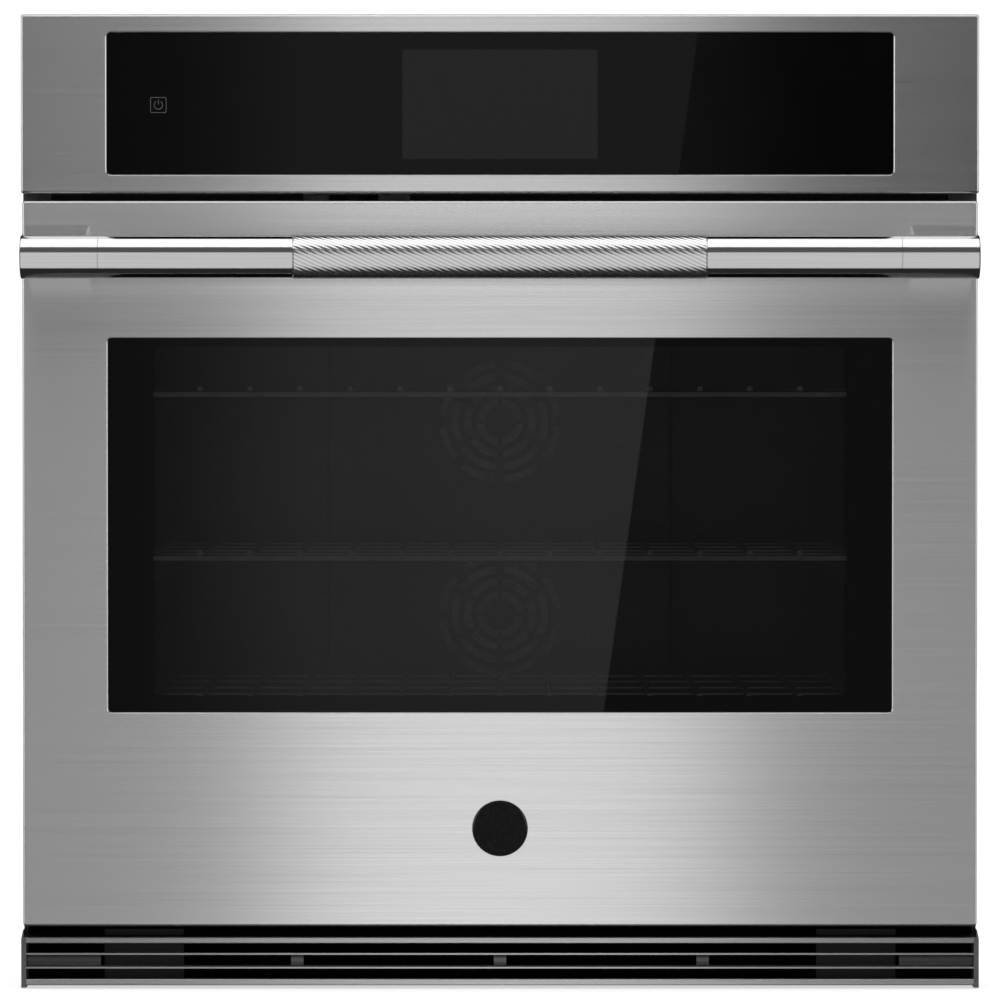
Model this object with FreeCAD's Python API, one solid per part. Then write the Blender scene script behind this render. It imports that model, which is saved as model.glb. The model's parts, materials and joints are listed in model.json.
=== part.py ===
"""Built-in single wall oven with a drop-down door, modelled as its separate pieces, in millimetres.

+X is the oven's right side as seen by the cook, +Y runs into the cabinet and +Z is up. The pieces are
drawn with Y = 0 on the cabinet's face and Z = 0 under the base runners. export() then moves them along
Y, so that the origin of the finished files is the centre of the whole oven's footprint.
"""

import FreeCAD, Part
import math
import os

V = FreeCAD.Vector
X_AXIS = V(1, 0, 0)
Y_AXIS = V(0, 1, 0)
Z_AXIS = V(0, 0, 1)

# Whole oven
SHEET = 1.0
FRONT_Y = -46.0
CHASSIS_HALF_W = 358.5
CHASSIS_DEPTH = 589.0
CHASSIS_TOP_Z = 757.0
PAN_Z = 45.0
GLAND_REACH = 12.0
SLOT_W = 5.0
REAR_FIELD_HALF_W = 250.0
REAR_FIELD_Z = (150.0, 600.0)
REAR_FIELD_R = 18.0
REAR_FIELD_OUT = 4.0
REAR_SLOTS = 12
REAR_SLOT_X = -178.0
REAR_SLOT_PITCH = 32.0
REAR_SLOT_ROWS = ((200.0, 290.0), (655.0, 710.0), (75.0, 120.0))
SIDE_FIELD_Y = ((40.0, 280.0), (310.0, 550.0))
SIDE_FIELD_Z = (160.0, 590.0)
SIDE_FIELD_R = 20.0
SIDE_FIELD_IN = 2.5
SIDE_SLOTS = 9
SIDE_SLOT_Y = 150.0
SIDE_SLOT_PITCH = 42.0
SIDE_SLOT_H = 55.0
SIDE_SLOT_Z = (70.0, 655.0)

# Handle
HANDLE_Z = 578.2
HANDLE_Y = -96.0
HANDLE_R = 17.0
HANDLE_BORE_R = 11.0
GRIP_R = 17.5
GRIP_HALF_L = 161.6
TUBE_HALF_L = 313.4
BRACKET_END_X = 374.3
NECK_INNER_X = 324.3
NECK_OUTER_X = 373.3
NECK_TOP_Z = 604.3
NECK_BOTTOM_Z = 563.0

# Door
DOOR_HALF_W = 377.0
DOOR_BOTTOM_Z = 50.2
DOOR_TOP_Z = 623.4
SKIN_BACK_Y = -16.0
BEND_R = 2.0
LIP = 32.0
WINDOW_HALF_W = 309.8
WINDOW_BOTTOM_Z = 219.3
WINDOW_TOP_Z = 514.9
WINDOW_R = 3.0
WINDOW_BEVEL = 0.8
LINER_BACK_Y = -2.0
LINER_HALF_W = 345.0
LINER_BOTTOM_Z = 75.0
LINER_TOP_Z = 616.0
LINER_WINDOW_HALF_W = 280.0
LINER_WINDOW_BOTTOM_Z = 225.0
LINER_WINDOW_TOP_Z = 515.0
MIDDLE_PANE_HALF_W = 284.0
MIDDLE_PANE_Y = (-30.0, -26.0)
MIDDLE_PANE_Z = (206.0, 534.0)
HOT_PANE_Y = (-7.0, -3.0)
BADGE_R = 22.0
BADGE_T = 2.4
BADGE_BEVEL = 1.4
BADGE_Z = 127.7

# Door hinges
PIVOT_Y = -29.0
PIVOT_Z = 68.5
HINGE_X = 300.0
HINGE_PIN_R = 3.0
PIN_CLEARANCE = 0.05
ARM_T = 5.0
ARM_END_R = 8.0
ARM_BACK_Y = 60.0
ARM_BOTTOM_Z = 60.0
ARM_TOP_Z = 72.5
CHANNEL_HALF_W = 10.0
CHANNEL_TOP_Z = 260.0

# Control panel
PANEL_HALF_W = 378.0
PANEL_BOTTOM_Z = 629.3
PANEL_TOP_Z = 770.3
PANEL_BACK_Y = -2.0
GLASS_HALF_W = 310.6
GLASS_BOTTOM_Z = 643.8
GLASS_TOP_Z = 756.1
GLASS_T = 4.0
DISPLAY_HALF_W = 77.0
DISPLAY_BOTTOM_Z = 656.4
DISPLAY_TOP_Z = 742.6

# Bottom air vent
VENT_FRONT_Y = -34.0
RAIL_HALF_L = 375.6
RAIL_T = 1.2
CAP_OUTER_X = 379.5
CAP_BOTTOM_Z = 0.4
CAP_TOP_Z = 46.3
CAP_SLOPE = 7.0
CAP_DEPTH = 33.0
CAP_DOOR_GAP = 0.6
TOP_RAIL_Z = (35.5, 40.4)
MIDDLE_RAIL_Z = (15.6, 27.7)
BOTTOM_RAIL_Z = (2.2, 7.1)
CHANNEL_DEPTH = 8.0
CHANNEL_BEND_R = 4.0
VENT_SLOT_Z = (17.6, 25.9)
VENT_SLOT_L = 151.0
VENT_SLOT_PITCH = 160.9
VENT_PLATE_Y = -12.0
VENT_PLATE_T = 1.5
VENT_PLATE_X = (251.6, 314.8)
VENT_FOOT_X = 300.0
VENT_FOOT_BACK_Y = 40.0
BAFFLE_PLATE_Y = (-8.0, -6.8)
BAFFLE_PLATE_Z = (2.0, 49.7)

# Oven cavity
FRAME_Y = 6.0
CAVITY_HALF_W = 310.0
CAVITY_BOTTOM_Z = 130.0
CAVITY_TOP_Z = 565.0
CAVITY_BACK_Y = 497.0
INSULATION_HALF_W = 352.0
INSULATION_BACK_Y = 527.0
INSULATION_Z = (98.0, 599.0)
BAKE_POCKET_Z = 117.0
DIVIDER_Z = 600.0
GASKET_OFFSET = 5.0
GASKET_W = 10.0

# Racks and their guides
RACK_HALF_W = 296.0
RACK_FRONT_Y = 24.0
RACK_BACK_Y = 436.0
RACK_ROD_R = 3.0
RACK_WIRE_R = 2.3
RACK_WIRE_PITCH = 40.0
RACK_WIRES_EACH_SIDE = 7
UPPER_RACK_Z = 470.5
MIDDLE_RACK_Z = 339.2
LOWER_RACK_Z = 224.6
GUIDE_ROD_R = 2.5
GUIDE_X = 301.0
GUIDE_GAP = 0.3
ROLL_OUT_LIFT = 22.0
SPARE_GUIDE_Z = (181.0, 268.0, 363.0, 414.5)
GUIDE_UPRIGHT_Y = (40.0, 235.0, 430.0)
SLIDE_Z = (MIDDLE_RACK_Z - ROLL_OUT_LIFT - RACK_ROD_R, MIDDLE_RACK_Z - RACK_ROD_R - 3)
SLIDE_Y = (34.0, 430.0)
SLIDE_X = 296.0

# Convection fans
FAN_Z = (277.5, 445.0)
FAN_R = 55.0
FAN_BLADES = 12
FAN_FRONT_Y = 468.0
FAN_BACK_Y = 488.0
SHAFT_R = 4.0
BAFFLE_FRONT_Y = 455.0
BAFFLE_HALF_W = 150.0
BAFFLE_Z = (190.0, 530.0)
ELEMENT_R = 3.2
RING_ELEMENT_R = 72.0
RING_Y = 478.0
RING_BEND_R = 10.0
RING_GAP_ANGLE = math.radians(18)
MOTOR_FRONT_Y = 529.0
MOTOR_BACK_Y = 576.0

# Broil and bake elements, lamps and temperature probe
BROIL_Z = 549.0
BROIL_PITCH = 90.0
BROIL_FRONT_Y = 70.0
BROIL_BACK_Y = 430.0
BAKE_Z = 123.0
BAKE_TAIL_X = 210.0
LAMP_Y = 330.0
LAMP_Z = 505.0
LAMP_R = 22.0
PROBE_X = -215.0
PROBE_Z = 535.0
PROBE_R = 2.5
TAIL_END_Y = 536.0
BROIL_PASSES = 6
BROIL_HANGER_Y = (150.0, 350.0)
BROIL_HANGER_X = (-180.0, 0.0, 180.0)
BAKE_PASSES = 4
BAKE_PITCH = 140.0
BAKE_FRONT_Y = 90.0
BAKE_BACK_Y = 420.0
LENS_SPHERE_R = 40.0
LENS_T = 3.0
LENS_CENTRE_IN = 29.0
PROBE_FRONT_Y = 415.0

# Cooling blower
BLOWER_Y = 455.0
BLOWER_R = 55.0
BLOWER_Z = (612.0, 652.0)
BLOWER_HOUSING_TOP_Z = 668.0

# Door latch and door switch
LATCH_X = -118.0
LATCH_Y = 26.0
LATCH_Z = (606.0, 609.0)
LATCH_PIN_R = 3.0
LATCH_REACH = 38.0
SWITCH_X = 130.0
SWITCH_Z = 608.0
PLUNGER_R = 2.5

# Fasteners and electrical inlet
FLANGE_OUTER_X = 379.5
FLANGE_T = 1.2
FLANGE_BOTTOM_Z = 3.0
CABINET_SCREW_X = 367.0
CABINET_SCREW_Z = (150.0, 650.0)
CABINET_SCREW_R = 2.5
SCREW_R = 2.0
SCREW_HOLE_R = 2.1
SCREW_HEAD_R = 3.8
SCREW_HEAD_H = 2.0
REAR_SCREW_X = 350.5
REAR_SCREW_Z = (110.0, 300.0, 490.0, 680.0)
TOP_SCREW_Y = (60.0, 220.0, 380.0, 540.0)
INLET_X = 300.0
INLET_Z = 700.0
INLET_HOLE_R = 11.1
INLET_BORE_R = 9.6

HANDLE_REACH = GRIP_R - HANDLE_Y
SHIFT_Y = (HANDLE_REACH - CHASSIS_DEPTH - GLAND_REACH) / 2


# ---------------------------------------------------------------- small helpers

def box(x, y, z):
    """A box from three (low, high) pairs."""
    return Part.makeBox(x[1] - x[0], y[1] - y[0], z[1] - z[0], V(x[0], y[0], z[0]))


def rod(start, axis, length, radius):
    """A round bar from a start point along an axis."""
    return Part.makeCylinder(radius, length, start, axis)


def pipe(start, axis, length, outer, inner):
    """A round tube from a start point along an axis."""
    return rod(start, axis, length, outer).cut(rod(start, axis, length, inner))


def mirrored(shape):
    """The same shape on the oven's other side."""
    return shape.mirror(V(0, 0, 0), X_AXIS)


def both_sides(shape):
    """A shape and its mirror image."""
    return [shape, mirrored(shape)]


def fillet_along(shape, axis, radius, keep=lambda centre: True):
    """Round the straight edges that run along an axis and whose centre is kept."""
    edges = []
    for edge in shape.Edges:
        start = edge.Vertexes[0].Point
        end = edge.Vertexes[-1].Point
        run = end.sub(start)
        if run.Length > 0 and abs(abs(run.dot(axis)) - run.Length) < 1e-6 and keep(edge.CenterOfMass):
            edges.append(edge)
    return shape.makeFillet(radius, edges)


def rounded_slab(half_w, y, z, radius):
    """A slab centred on X = 0 whose four corners are round, seen from the front."""
    return fillet_along(box((-half_w, half_w), y, z), Y_AXIS, radius)


def pressed_block(half_w, y, z, corner_r, bend_r, face_y):
    """A rounded slab whose rim on the plane face_y is round too, like a folded or pressed sheet."""
    slab = rounded_slab(half_w, y, z, corner_r)
    rim = [e for e in slab.Edges if max(abs(e.BoundBox.YMin - face_y), abs(e.BoundBox.YMax - face_y)) < 1e-6]
    return slab.makeFillet(bend_r, rim)


def window_edges(shape, half_w):
    """The front edges of an opening no wider than half_w in a front sheet."""
    found = []
    for edge in shape.Edges:
        b = edge.BoundBox
        if b.YMax < FRONT_Y + 1e-6 and b.XMax < half_w + 1 and b.XMin > -half_w - 1:
            found.append(edge)
    return found


def prism_x(points, x0, x1):
    """A polygon given as (y, z) points, drawn out along X."""
    wire = Part.makePolygon([V(x0, y, z) for y, z in points + points[:1]])
    return Part.Face(wire).extrude(V(x1 - x0, 0, 0))


def swept_rod(edges, radius):
    """A round bar along a path of tangent lines and arcs."""
    path = Part.Wire(edges)
    start = edges[0].firstVertex(True).Point
    direction = edges[0].tangentAt(edges[0].FirstParameter)
    profile = Part.Wire(Part.makeCircle(radius, start, direction))
    return path.makePipeShell([profile], True, False)


def fuse_all(shapes):
    """One solid from shapes that overlap."""
    return shapes[0].multiFuse(shapes[1:]).removeSplitter()


def cut_all(shape, tools):
    """A shape less a list of tools."""
    return shape.cut(Part.makeCompound(tools))


def export(name, *solids):
    """Write one node, moved so that the origin is the centre of the footprint."""
    node = Part.makeCompound(list(solids)) if len(solids) > 1 else solids[0].copy()
    node.translate(V(0, SHIFT_Y, 0))
    node.exportStep("parts/" + name + ".step")


# ---------------------------------------------------------------- chassis

def side_panel():
    """The right side sheet with its inward flanges, two pressed-in fields, air slots and screw holes."""
    inner = CHASSIS_HALF_W - SHEET
    flange = (inner - 14, inner)
    top = CHASSIS_TOP_Z - SHEET
    bottom = PAN_Z + SHEET
    back = CHASSIS_DEPTH - SHEET
    panel = fuse_all([
        box((inner, CHASSIS_HALF_W), (0, back), (bottom, top)),
        box(flange, (12, back), (top - SHEET, top)),
        box(flange, (12, back), (bottom, bottom + SHEET)),
        box(flange, (back - SHEET, back), (bottom, top)),
    ])
    for y in SIDE_FIELD_Y:
        x = inner - SIDE_FIELD_IN
        back_face = fillet_along(box((x, inner + 0.1), y, SIDE_FIELD_Z), X_AXIS, SIDE_FIELD_R)
        inset = (y[0] + SHEET, y[1] - SHEET)
        inset_z = (SIDE_FIELD_Z[0] + SHEET, SIDE_FIELD_Z[1] - SHEET)
        dish = box((x + SHEET, CHASSIS_HALF_W + 1), inset, inset_z)
        dish = fillet_along(dish, X_AXIS, SIDE_FIELD_R - SHEET)
        panel = panel.fuse(back_face).cut(dish)
    slots = []
    for row_z in SIDE_SLOT_Z:
        for i in range(SIDE_SLOTS):
            y = SIDE_SLOT_Y + SIDE_SLOT_PITCH * i
            slots.append(box((inner - 1, CHASSIS_HALF_W + 1), (y, y + SLOT_W), (row_z, row_z + SIDE_SLOT_H)))
    holes = [rod(V(REAR_SCREW_X, back - 2, z), Y_AXIS, 3, SCREW_HOLE_R) for z in REAR_SCREW_Z]
    holes += [rod(V(REAR_SCREW_X, y, top - 2), Z_AXIS, 3, SCREW_HOLE_R) for y in TOP_SCREW_Y]
    return cut_all(panel, slots + holes)


def top_cover():
    """The flat top sheet with its rows of air slots and its screw holes."""
    z = (CHASSIS_TOP_Z - SHEET, CHASSIS_TOP_Z)
    tools = []
    for i in range(15):
        x = -176 + 24 * i
        tools.append(box((x, x + 5), (410, 500), (z[0] - 1, z[1] + 1)))
    for side in (-1, 1):
        tools += [rod(V(side * REAR_SCREW_X, y, z[0] - 1), Z_AXIS, 3, SCREW_HOLE_R) for y in TOP_SCREW_Y]
    sheet = box((-CHASSIS_HALF_W, CHASSIS_HALF_W), (2, CHASSIS_DEPTH - SHEET), z)
    return cut_all(sheet, tools)


def rear_cover():
    """The back sheet with a raised middle field, air slots, screw holes and the inlet hole."""
    y = (CHASSIS_DEPTH - SHEET, CHASSIS_DEPTH)
    half_w = CHASSIS_HALF_W - SHEET - 0.1
    sheet = box((-half_w, half_w), y, (PAN_Z + SHEET, CHASSIS_TOP_Z - SHEET))
    x, (low, high) = REAR_FIELD_HALF_W, REAR_FIELD_Z
    field = box((-x, x), (y[0], y[1] + REAR_FIELD_OUT), (low, high))
    field = fillet_along(field, Y_AXIS, REAR_FIELD_R)
    hollow_y = (y[0] - 1, y[1] + REAR_FIELD_OUT - SHEET)
    hollow = box((-x + SHEET, x - SHEET), hollow_y, (low + SHEET, high - SHEET))
    hollow = fillet_along(hollow, Y_AXIS, REAR_FIELD_R - SHEET)
    cover = sheet.fuse(field).cut(hollow).removeSplitter()
    tools = [rod(V(INLET_X, y[0] - 1, INLET_Z), Y_AXIS, 3, INLET_HOLE_R)]
    for side in (-1, 1):
        tools += [rod(V(side * REAR_SCREW_X, y[0] - 1, z), Y_AXIS, 3, SCREW_HOLE_R) for z in REAR_SCREW_Z]
    for i in range(REAR_SLOTS):
        x = REAR_SLOT_X + REAR_SLOT_PITCH * i
        for row in REAR_SLOT_ROWS:
            tools.append(box((x, x + SLOT_W), (y[0] - 1, y[1] + REAR_FIELD_OUT + 2), row))
    return cut_all(cover, tools)


def base_pan():
    """The flat floor sheet of the chassis."""
    half_w = CHASSIS_HALF_W - SHEET - 0.1
    return box((-half_w, half_w), (8, CHASSIS_DEPTH - SHEET), (PAN_Z, PAN_Z + SHEET))


def base_runner():
    """The right channel that the oven stands on."""
    t = 1.5
    outer = box((310, 350), (24, 584), (0, PAN_Z))
    inside = box((310 + t, 350 - t), (23, 585), (t, PAN_Z - t))
    mouth = box((320, 340), (23, 585), (-1, t + 1))
    return outer.cut(inside).cut(mouth)


def side_trim():
    """The right mounting flange: a face strip in front of the cabinet and a leg along the side sheet."""
    z = (FLANGE_BOTTOM_Z, CHASSIS_TOP_Z)
    face = box((CHASSIS_HALF_W - 0.9, FLANGE_OUTER_X), (-FLANGE_T, 0), z)
    leg = box((CHASSIS_HALF_W, CHASSIS_HALF_W + FLANGE_T), (-FLANGE_T, 16), z)
    holes = [rod(V(CABINET_SCREW_X, -3, z), Y_AXIS, 5, CABINET_SCREW_R) for z in CABINET_SCREW_Z]
    return cut_all(face.fuse(leg).removeSplitter(), holes)


def upper_gap_trim():
    """The dark plate behind the gap between the door and the control panel, open for the latch hook."""
    plate = box((-357.4, 357.4), (FRAME_Y, FRAME_Y + SHEET), (DIVIDER_Z, 650))
    latch_mouth = box((-156.7, -71.4), (FRAME_Y - 1, FRAME_Y + 2), (DIVIDER_Z + 2.5, 630))
    plunger_hole = rod(V(SWITCH_X, FRAME_Y - 1, SWITCH_Z), Y_AXIS, 3, PLUNGER_R + 1)
    return cut_all(plate, [latch_mouth, plunger_hole])


def divider_plate():
    """The sheet between the insulated cavity and the control space, with the blower's outlet hole."""
    sheet = box((-357.4, 357.4), (FRAME_Y + SHEET, CHASSIS_DEPTH - 2 * SHEET), (DIVIDER_Z, DIVIDER_Z + SHEET))
    corners = [box((343, 358), (CHASSIS_DEPTH - 4, CHASSIS_DEPTH), (DIVIDER_Z - 1, DIVIDER_Z + 3))]
    corners.append(mirrored(corners[0]))
    outlet = box((-60, 60), (536, 572), (DIVIDER_Z - 1, DIVIDER_Z + 2))
    return cut_all(sheet, corners + [outlet])


# ---------------------------------------------------------------- cavity

def cavity_panels():
    """The floor, ceiling, two sides and back of the enamelled cavity."""
    w = CAVITY_HALF_W
    y = (FRAME_Y + SHEET, CAVITY_BACK_Y + SHEET)
    floor = box((-w - SHEET, w + SHEET), y, (CAVITY_BOTTOM_Z - SHEET, CAVITY_BOTTOM_Z))
    ceiling = box((-w - SHEET, w + SHEET), y, (CAVITY_TOP_Z, CAVITY_TOP_Z + SHEET))
    side = box((w, w + SHEET), y, (CAVITY_BOTTOM_Z, CAVITY_TOP_Z))
    side = side.cut(rod(V(w - 1, LAMP_Y, LAMP_Z), X_AXIS, 3, LAMP_R + 0.5))
    back = box((-w, w), (CAVITY_BACK_Y, CAVITY_BACK_Y + SHEET), (CAVITY_BOTTOM_Z, CAVITY_TOP_Z))
    back_holes = [rod(V(0, CAVITY_BACK_Y - 1, z), Y_AXIS, 3, SHAFT_R + 2) for z in FAN_Z]
    back_holes += [rod(V(x, CAVITY_BACK_Y - 1, z), Y_AXIS, 3, ELEMENT_R + 0.5) for x, z in element_tails()]
    back_holes.append(rod(V(PROBE_X, CAVITY_BACK_Y - 1, PROBE_Z), Y_AXIS, 3, PROBE_R + 0.5))
    return floor, ceiling, both_sides(side), cut_all(back, back_holes)


def cavity_front_frame():
    """The flat frame round the cavity's mouth, with the slots that the hinge arms pass through."""
    plate = box((-357.4, 357.4), (FRAME_Y, FRAME_Y + SHEET), (PAN_Z + 3, DIVIDER_Z))
    w = CAVITY_HALF_W
    mouth = box((-w, w), (FRAME_Y - 1, FRAME_Y + 2), (CAVITY_BOTTOM_Z, CAVITY_TOP_Z))
    slots = both_sides(box((HINGE_X - 5, HINGE_X + 5), (FRAME_Y - 1, FRAME_Y + 2), (55, 78)))
    return cut_all(plate, [mouth] + slots)


def door_gasket():
    """The woven seal round the mouth: a soft bulb that stops 0.3 short of the closed door."""
    z = (CAVITY_BOTTOM_Z - GASKET_OFFSET, CAVITY_TOP_Z + GASKET_OFFSET)
    y = (LINER_BACK_Y + 0.3, FRAME_Y)
    half_w = CAVITY_HALF_W + GASKET_OFFSET
    hole = rounded_slab(half_w, (y[0] - 1, y[1] + 1), z, 12)
    outer = rounded_slab(half_w + GASKET_W, y, (z[0] - GASKET_W, z[1] + GASKET_W), 12 + GASKET_W)
    ring = outer.cut(hole)
    front = [e for e in ring.Edges if abs(e.BoundBox.YMax - y[0]) < 1e-6]
    return ring.makeFillet(3.4, front)


def insulation():
    """The glass-wool blanket wrapped round the cavity, with its openings for what passes through."""
    w = CAVITY_HALF_W + SHEET + 0.2
    blanket = box((-INSULATION_HALF_W, INSULATION_HALF_W), (8, INSULATION_BACK_Y), INSULATION_Z)
    room = box((-w, w), (7, CAVITY_BACK_Y + SHEET + 0.2), (BAKE_POCKET_Z, CAVITY_TOP_Z + SHEET + 0.2))
    tools = [room]
    tools += both_sides(rod(V(w - 1, LAMP_Y, LAMP_Z), X_AXIS, 60, LAMP_R + 3.3))
    tools += [rod(V(0, CAVITY_BACK_Y, z), Y_AXIS, 60, SHAFT_R + 6) for z in FAN_Z]
    tools += [rod(V(x, CAVITY_BACK_Y, z), Y_AXIS, 60, 6) for x, z in element_tails()]
    tools += [rod(V(x, CAVITY_BACK_Y, BAKE_Z), Y_AXIS, 60, 6) for x in (-BAKE_TAIL_X, BAKE_TAIL_X)]
    tools.append(rod(V(PROBE_X, CAVITY_BACK_Y, PROBE_Z), Y_AXIS, 60, 6))
    return cut_all(blanket, tools)


# ---------------------------------------------------------------- heating, lamps and sensor

def element_tails():
    """The (x, z) places where the broil and ring elements pass through the cavity's back."""
    tails = [(side * 2.5 * BROIL_PITCH, BROIL_Z) for side in (-1, 1)]
    for z in FAN_Z:
        x, tail_z = ring_tail(z)[0]
        tails += [(side * x, tail_z) for side in (-1, 1)]
    return tails


def serpentine(z, pitch, runs, front_y, back_y, end_y):
    """A round heating rod that runs back and forth in Y and leaves through the back at both ends."""
    r = pitch / 2
    x = -(runs - 1) / 2 * pitch
    edges = [Part.makeLine(V(x, end_y, z), V(x, front_y + r, z))]
    for i in range(runs - 1):
        at_front = i % 2 == 0
        y = front_y + r if at_front else back_y - r
        tip = V(x + r, y - r if at_front else y + r, z)
        edges.append(Part.Arc(V(x, y, z), tip, V(x + pitch, y, z)).toShape())
        x += pitch
        stop = back_y - r if at_front else front_y + r
        if i == runs - 2:
            stop = end_y
        edges.append(Part.makeLine(V(x, y, z), V(x, stop, z)))
    return swept_rod(edges, ELEMENT_R)


def broil_element():
    """The six-pass rod under the ceiling, with the two hangers that hold it."""
    element = serpentine(BROIL_Z, BROIL_PITCH, BROIL_PASSES, BROIL_FRONT_Y, BROIL_BACK_Y, TAIL_END_Y)
    hangers = []
    for y in BROIL_HANGER_Y:
        strap = box((-240, 240), (y - 4, y + 4), (BROIL_Z + ELEMENT_R, BROIL_Z + ELEMENT_R + 1.5))
        post_z = (BROIL_Z + ELEMENT_R, CAVITY_TOP_Z)
        posts = [box((x - 4, x + 4), (y - 4, y + 4), post_z) for x in BROIL_HANGER_X]
        hangers.append(fuse_all([strap] + posts))
    return [element] + hangers


def bake_element():
    """The four-pass rod in the pocket under the cavity's floor."""
    return serpentine(BAKE_Z, BAKE_PITCH, BAKE_PASSES, BAKE_FRONT_Y, BAKE_BACK_Y, TAIL_END_Y)


def ring_tail(z):
    """Where the right tail of a fan's ring element runs, as (x, z), and the ring's end before the bend."""
    sine, cosine = math.sin(RING_GAP_ANGLE), math.cos(RING_GAP_ANGLE)
    end = (RING_ELEMENT_R * sine, z - RING_ELEMENT_R * cosine)
    tail = (end[0] - RING_BEND_R * cosine, end[1] - RING_BEND_R * sine)
    return tail, end


def convection_element(z):
    """A ring rod round one fan, whose two ends bend to the back below it."""
    (tail_x, tail_z), (end_x, end_z) = ring_tail(z)
    bend_y = RING_Y + RING_BEND_R
    k = 1 - math.sqrt(0.5)

    def bend(side):
        middle_x = tail_x + (end_x - tail_x) * k
        middle_z = tail_z + (end_z - tail_z) * k
        points = [V(side * tail_x, bend_y, tail_z), V(side * middle_x, RING_Y + RING_BEND_R * k, middle_z),
                  V(side * end_x, RING_Y, end_z)]
        return points

    left, right = bend(-1), bend(1)
    edges = [
        Part.makeLine(V(-tail_x, TAIL_END_Y, tail_z), left[0]),
        Part.Arc(*left).toShape(),
        Part.Arc(left[2], V(0, RING_Y, z + RING_ELEMENT_R), right[2]).toShape(),
        Part.Arc(*reversed(right)).toShape(),
        Part.makeLine(right[0], V(tail_x, TAIL_END_Y, tail_z)),
    ]
    return swept_rod(edges, ELEMENT_R)


def lamp():
    """The right lamp: a can in the insulation, its bulb, and the domed lens inside the cavity."""
    w = CAVITY_HALF_W
    can = pipe(V(w + SHEET, LAMP_Y, LAMP_Z), X_AXIS, 38, LAMP_R + 3, LAMP_R + 2)
    back = rod(V(w + SHEET + 37, LAMP_Y, LAMP_Z), X_AXIS, 1, LAMP_R + 3)
    socket = rod(V(w + SHEET + 25, LAMP_Y, LAMP_Z), X_AXIS, 13, 10)
    bulb = rod(V(w + SHEET + 8, LAMP_Y, LAMP_Z), X_AXIS, 17, 6)
    bulb = bulb.makeFillet(4, [e for e in bulb.Edges if e.BoundBox.XMax < w + SHEET + 9])
    ring = pipe(V(w - 3, LAMP_Y, LAMP_Z), X_AXIS, 3, LAMP_R + 6, LAMP_R - 2)
    centre = V(w + LENS_CENTRE_IN, LAMP_Y, LAMP_Z)
    cap = rod(V(w - 12, LAMP_Y, LAMP_Z), X_AXIS, 15, LAMP_R - 2.3)
    dome = Part.makeSphere(LENS_SPHERE_R, centre).common(cap)
    hollow = Part.makeSphere(LENS_SPHERE_R - LENS_T, centre)
    housing = fuse_all([can, back, socket])
    return [housing, bulb, ring], dome.cut(hollow)


def temperature_probe():
    """The thin sensor rod that stands out of the cavity's back, with its clip plate."""
    tip = V(PROBE_X, PROBE_FRONT_Y, PROBE_Z)
    stem = rod(tip, Y_AXIS, TAIL_END_Y - PROBE_FRONT_Y, PROBE_R)
    stem = stem.fuse(Part.makeSphere(PROBE_R, tip))
    plate_y = (CAVITY_BACK_Y - 1.2, CAVITY_BACK_Y)
    plate = box((PROBE_X - 14, PROBE_X + 14), plate_y, (PROBE_Z - 6, PROBE_Z + 6))
    return fuse_all([stem, fillet_along(plate, Y_AXIS, 4)])


# ---------------------------------------------------------------- convection fans

def arc_slot(centre_z, radius, width, start_deg, sweep_deg, y):
    """A curved slot cutter about a fan's centre, with the depth from y[0] to y[1]."""
    inner = radius - width / 2
    outer = radius + width / 2
    depth = y[1] - y[0]
    ring = Part.makeCylinder(outer, depth, V(0, y[0], centre_z), Y_AXIS, sweep_deg)
    core = Part.makeCylinder(inner, depth, V(0, y[0], centre_z), Y_AXIS, 360)
    slot = ring.cut(core)
    slot.rotate(V(0, y[0], centre_z), Y_AXIS, start_deg)
    return slot


def fan_baffle():
    """The shallow pan over both fans, with rings of curved slots in front of each."""
    y = (BAFFLE_FRONT_Y, CAVITY_BACK_Y)
    pan = pressed_block(BAFFLE_HALF_W, y, BAFFLE_Z, 20, 4, y[0])
    inner_z = (BAFFLE_Z[0] + SHEET, BAFFLE_Z[1] - SHEET)
    inside_y = (y[0] + SHEET, y[1] + 1)
    pan = pan.cut(pressed_block(BAFFLE_HALF_W - SHEET, inside_y, inner_z, 19, 3, inside_y[0]))
    tools = []
    for z in FAN_Z:
        for radius, count in ((17.0, 4), (28.0, 6), (39.0, 6), (50.0, 8)):
            step = 360.0 / count
            for i in range(count):
                tools.append(arc_slot(z, radius, 6.0, i * step + 5, step - 10, (y[0] - 1, y[0] + 6)))
        for i in range(12):
            side_z = z - 66 + 12 * i
            tools.append(box((-BAFFLE_HALF_W - 1, -BAFFLE_HALF_W + 2), (472, 490), (side_z, side_z + 6)))
            tools.append(box((BAFFLE_HALF_W - 2, BAFFLE_HALF_W + 1), (472, 490), (side_z, side_z + 6)))
    return cut_all(pan, tools)


def fan_wheel(z):
    """A radial fan wheel on its shaft, which runs back into the motor."""
    plate = rod(V(0, FAN_BACK_Y - 1.2, z), Y_AXIS, 1.2, FAN_R)
    hub = rod(V(0, FAN_FRONT_Y, z), Y_AXIS, FAN_BACK_Y - FAN_FRONT_Y, 9)
    shaft = rod(V(0, FAN_BACK_Y, z), Y_AXIS, MOTOR_FRONT_Y + 22 - FAN_BACK_Y, SHAFT_R)
    pieces = [plate, hub, shaft]
    for i in range(FAN_BLADES):
        blade = box((18, FAN_R - 1), (FAN_FRONT_Y, FAN_BACK_Y - 0.6), (z - 0.6, z + 0.6))
        blade.rotate(V(0, 0, z), Y_AXIS, 360.0 * i / FAN_BLADES)
        pieces.append(blade)
    return fuse_all(pieces)


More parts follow.
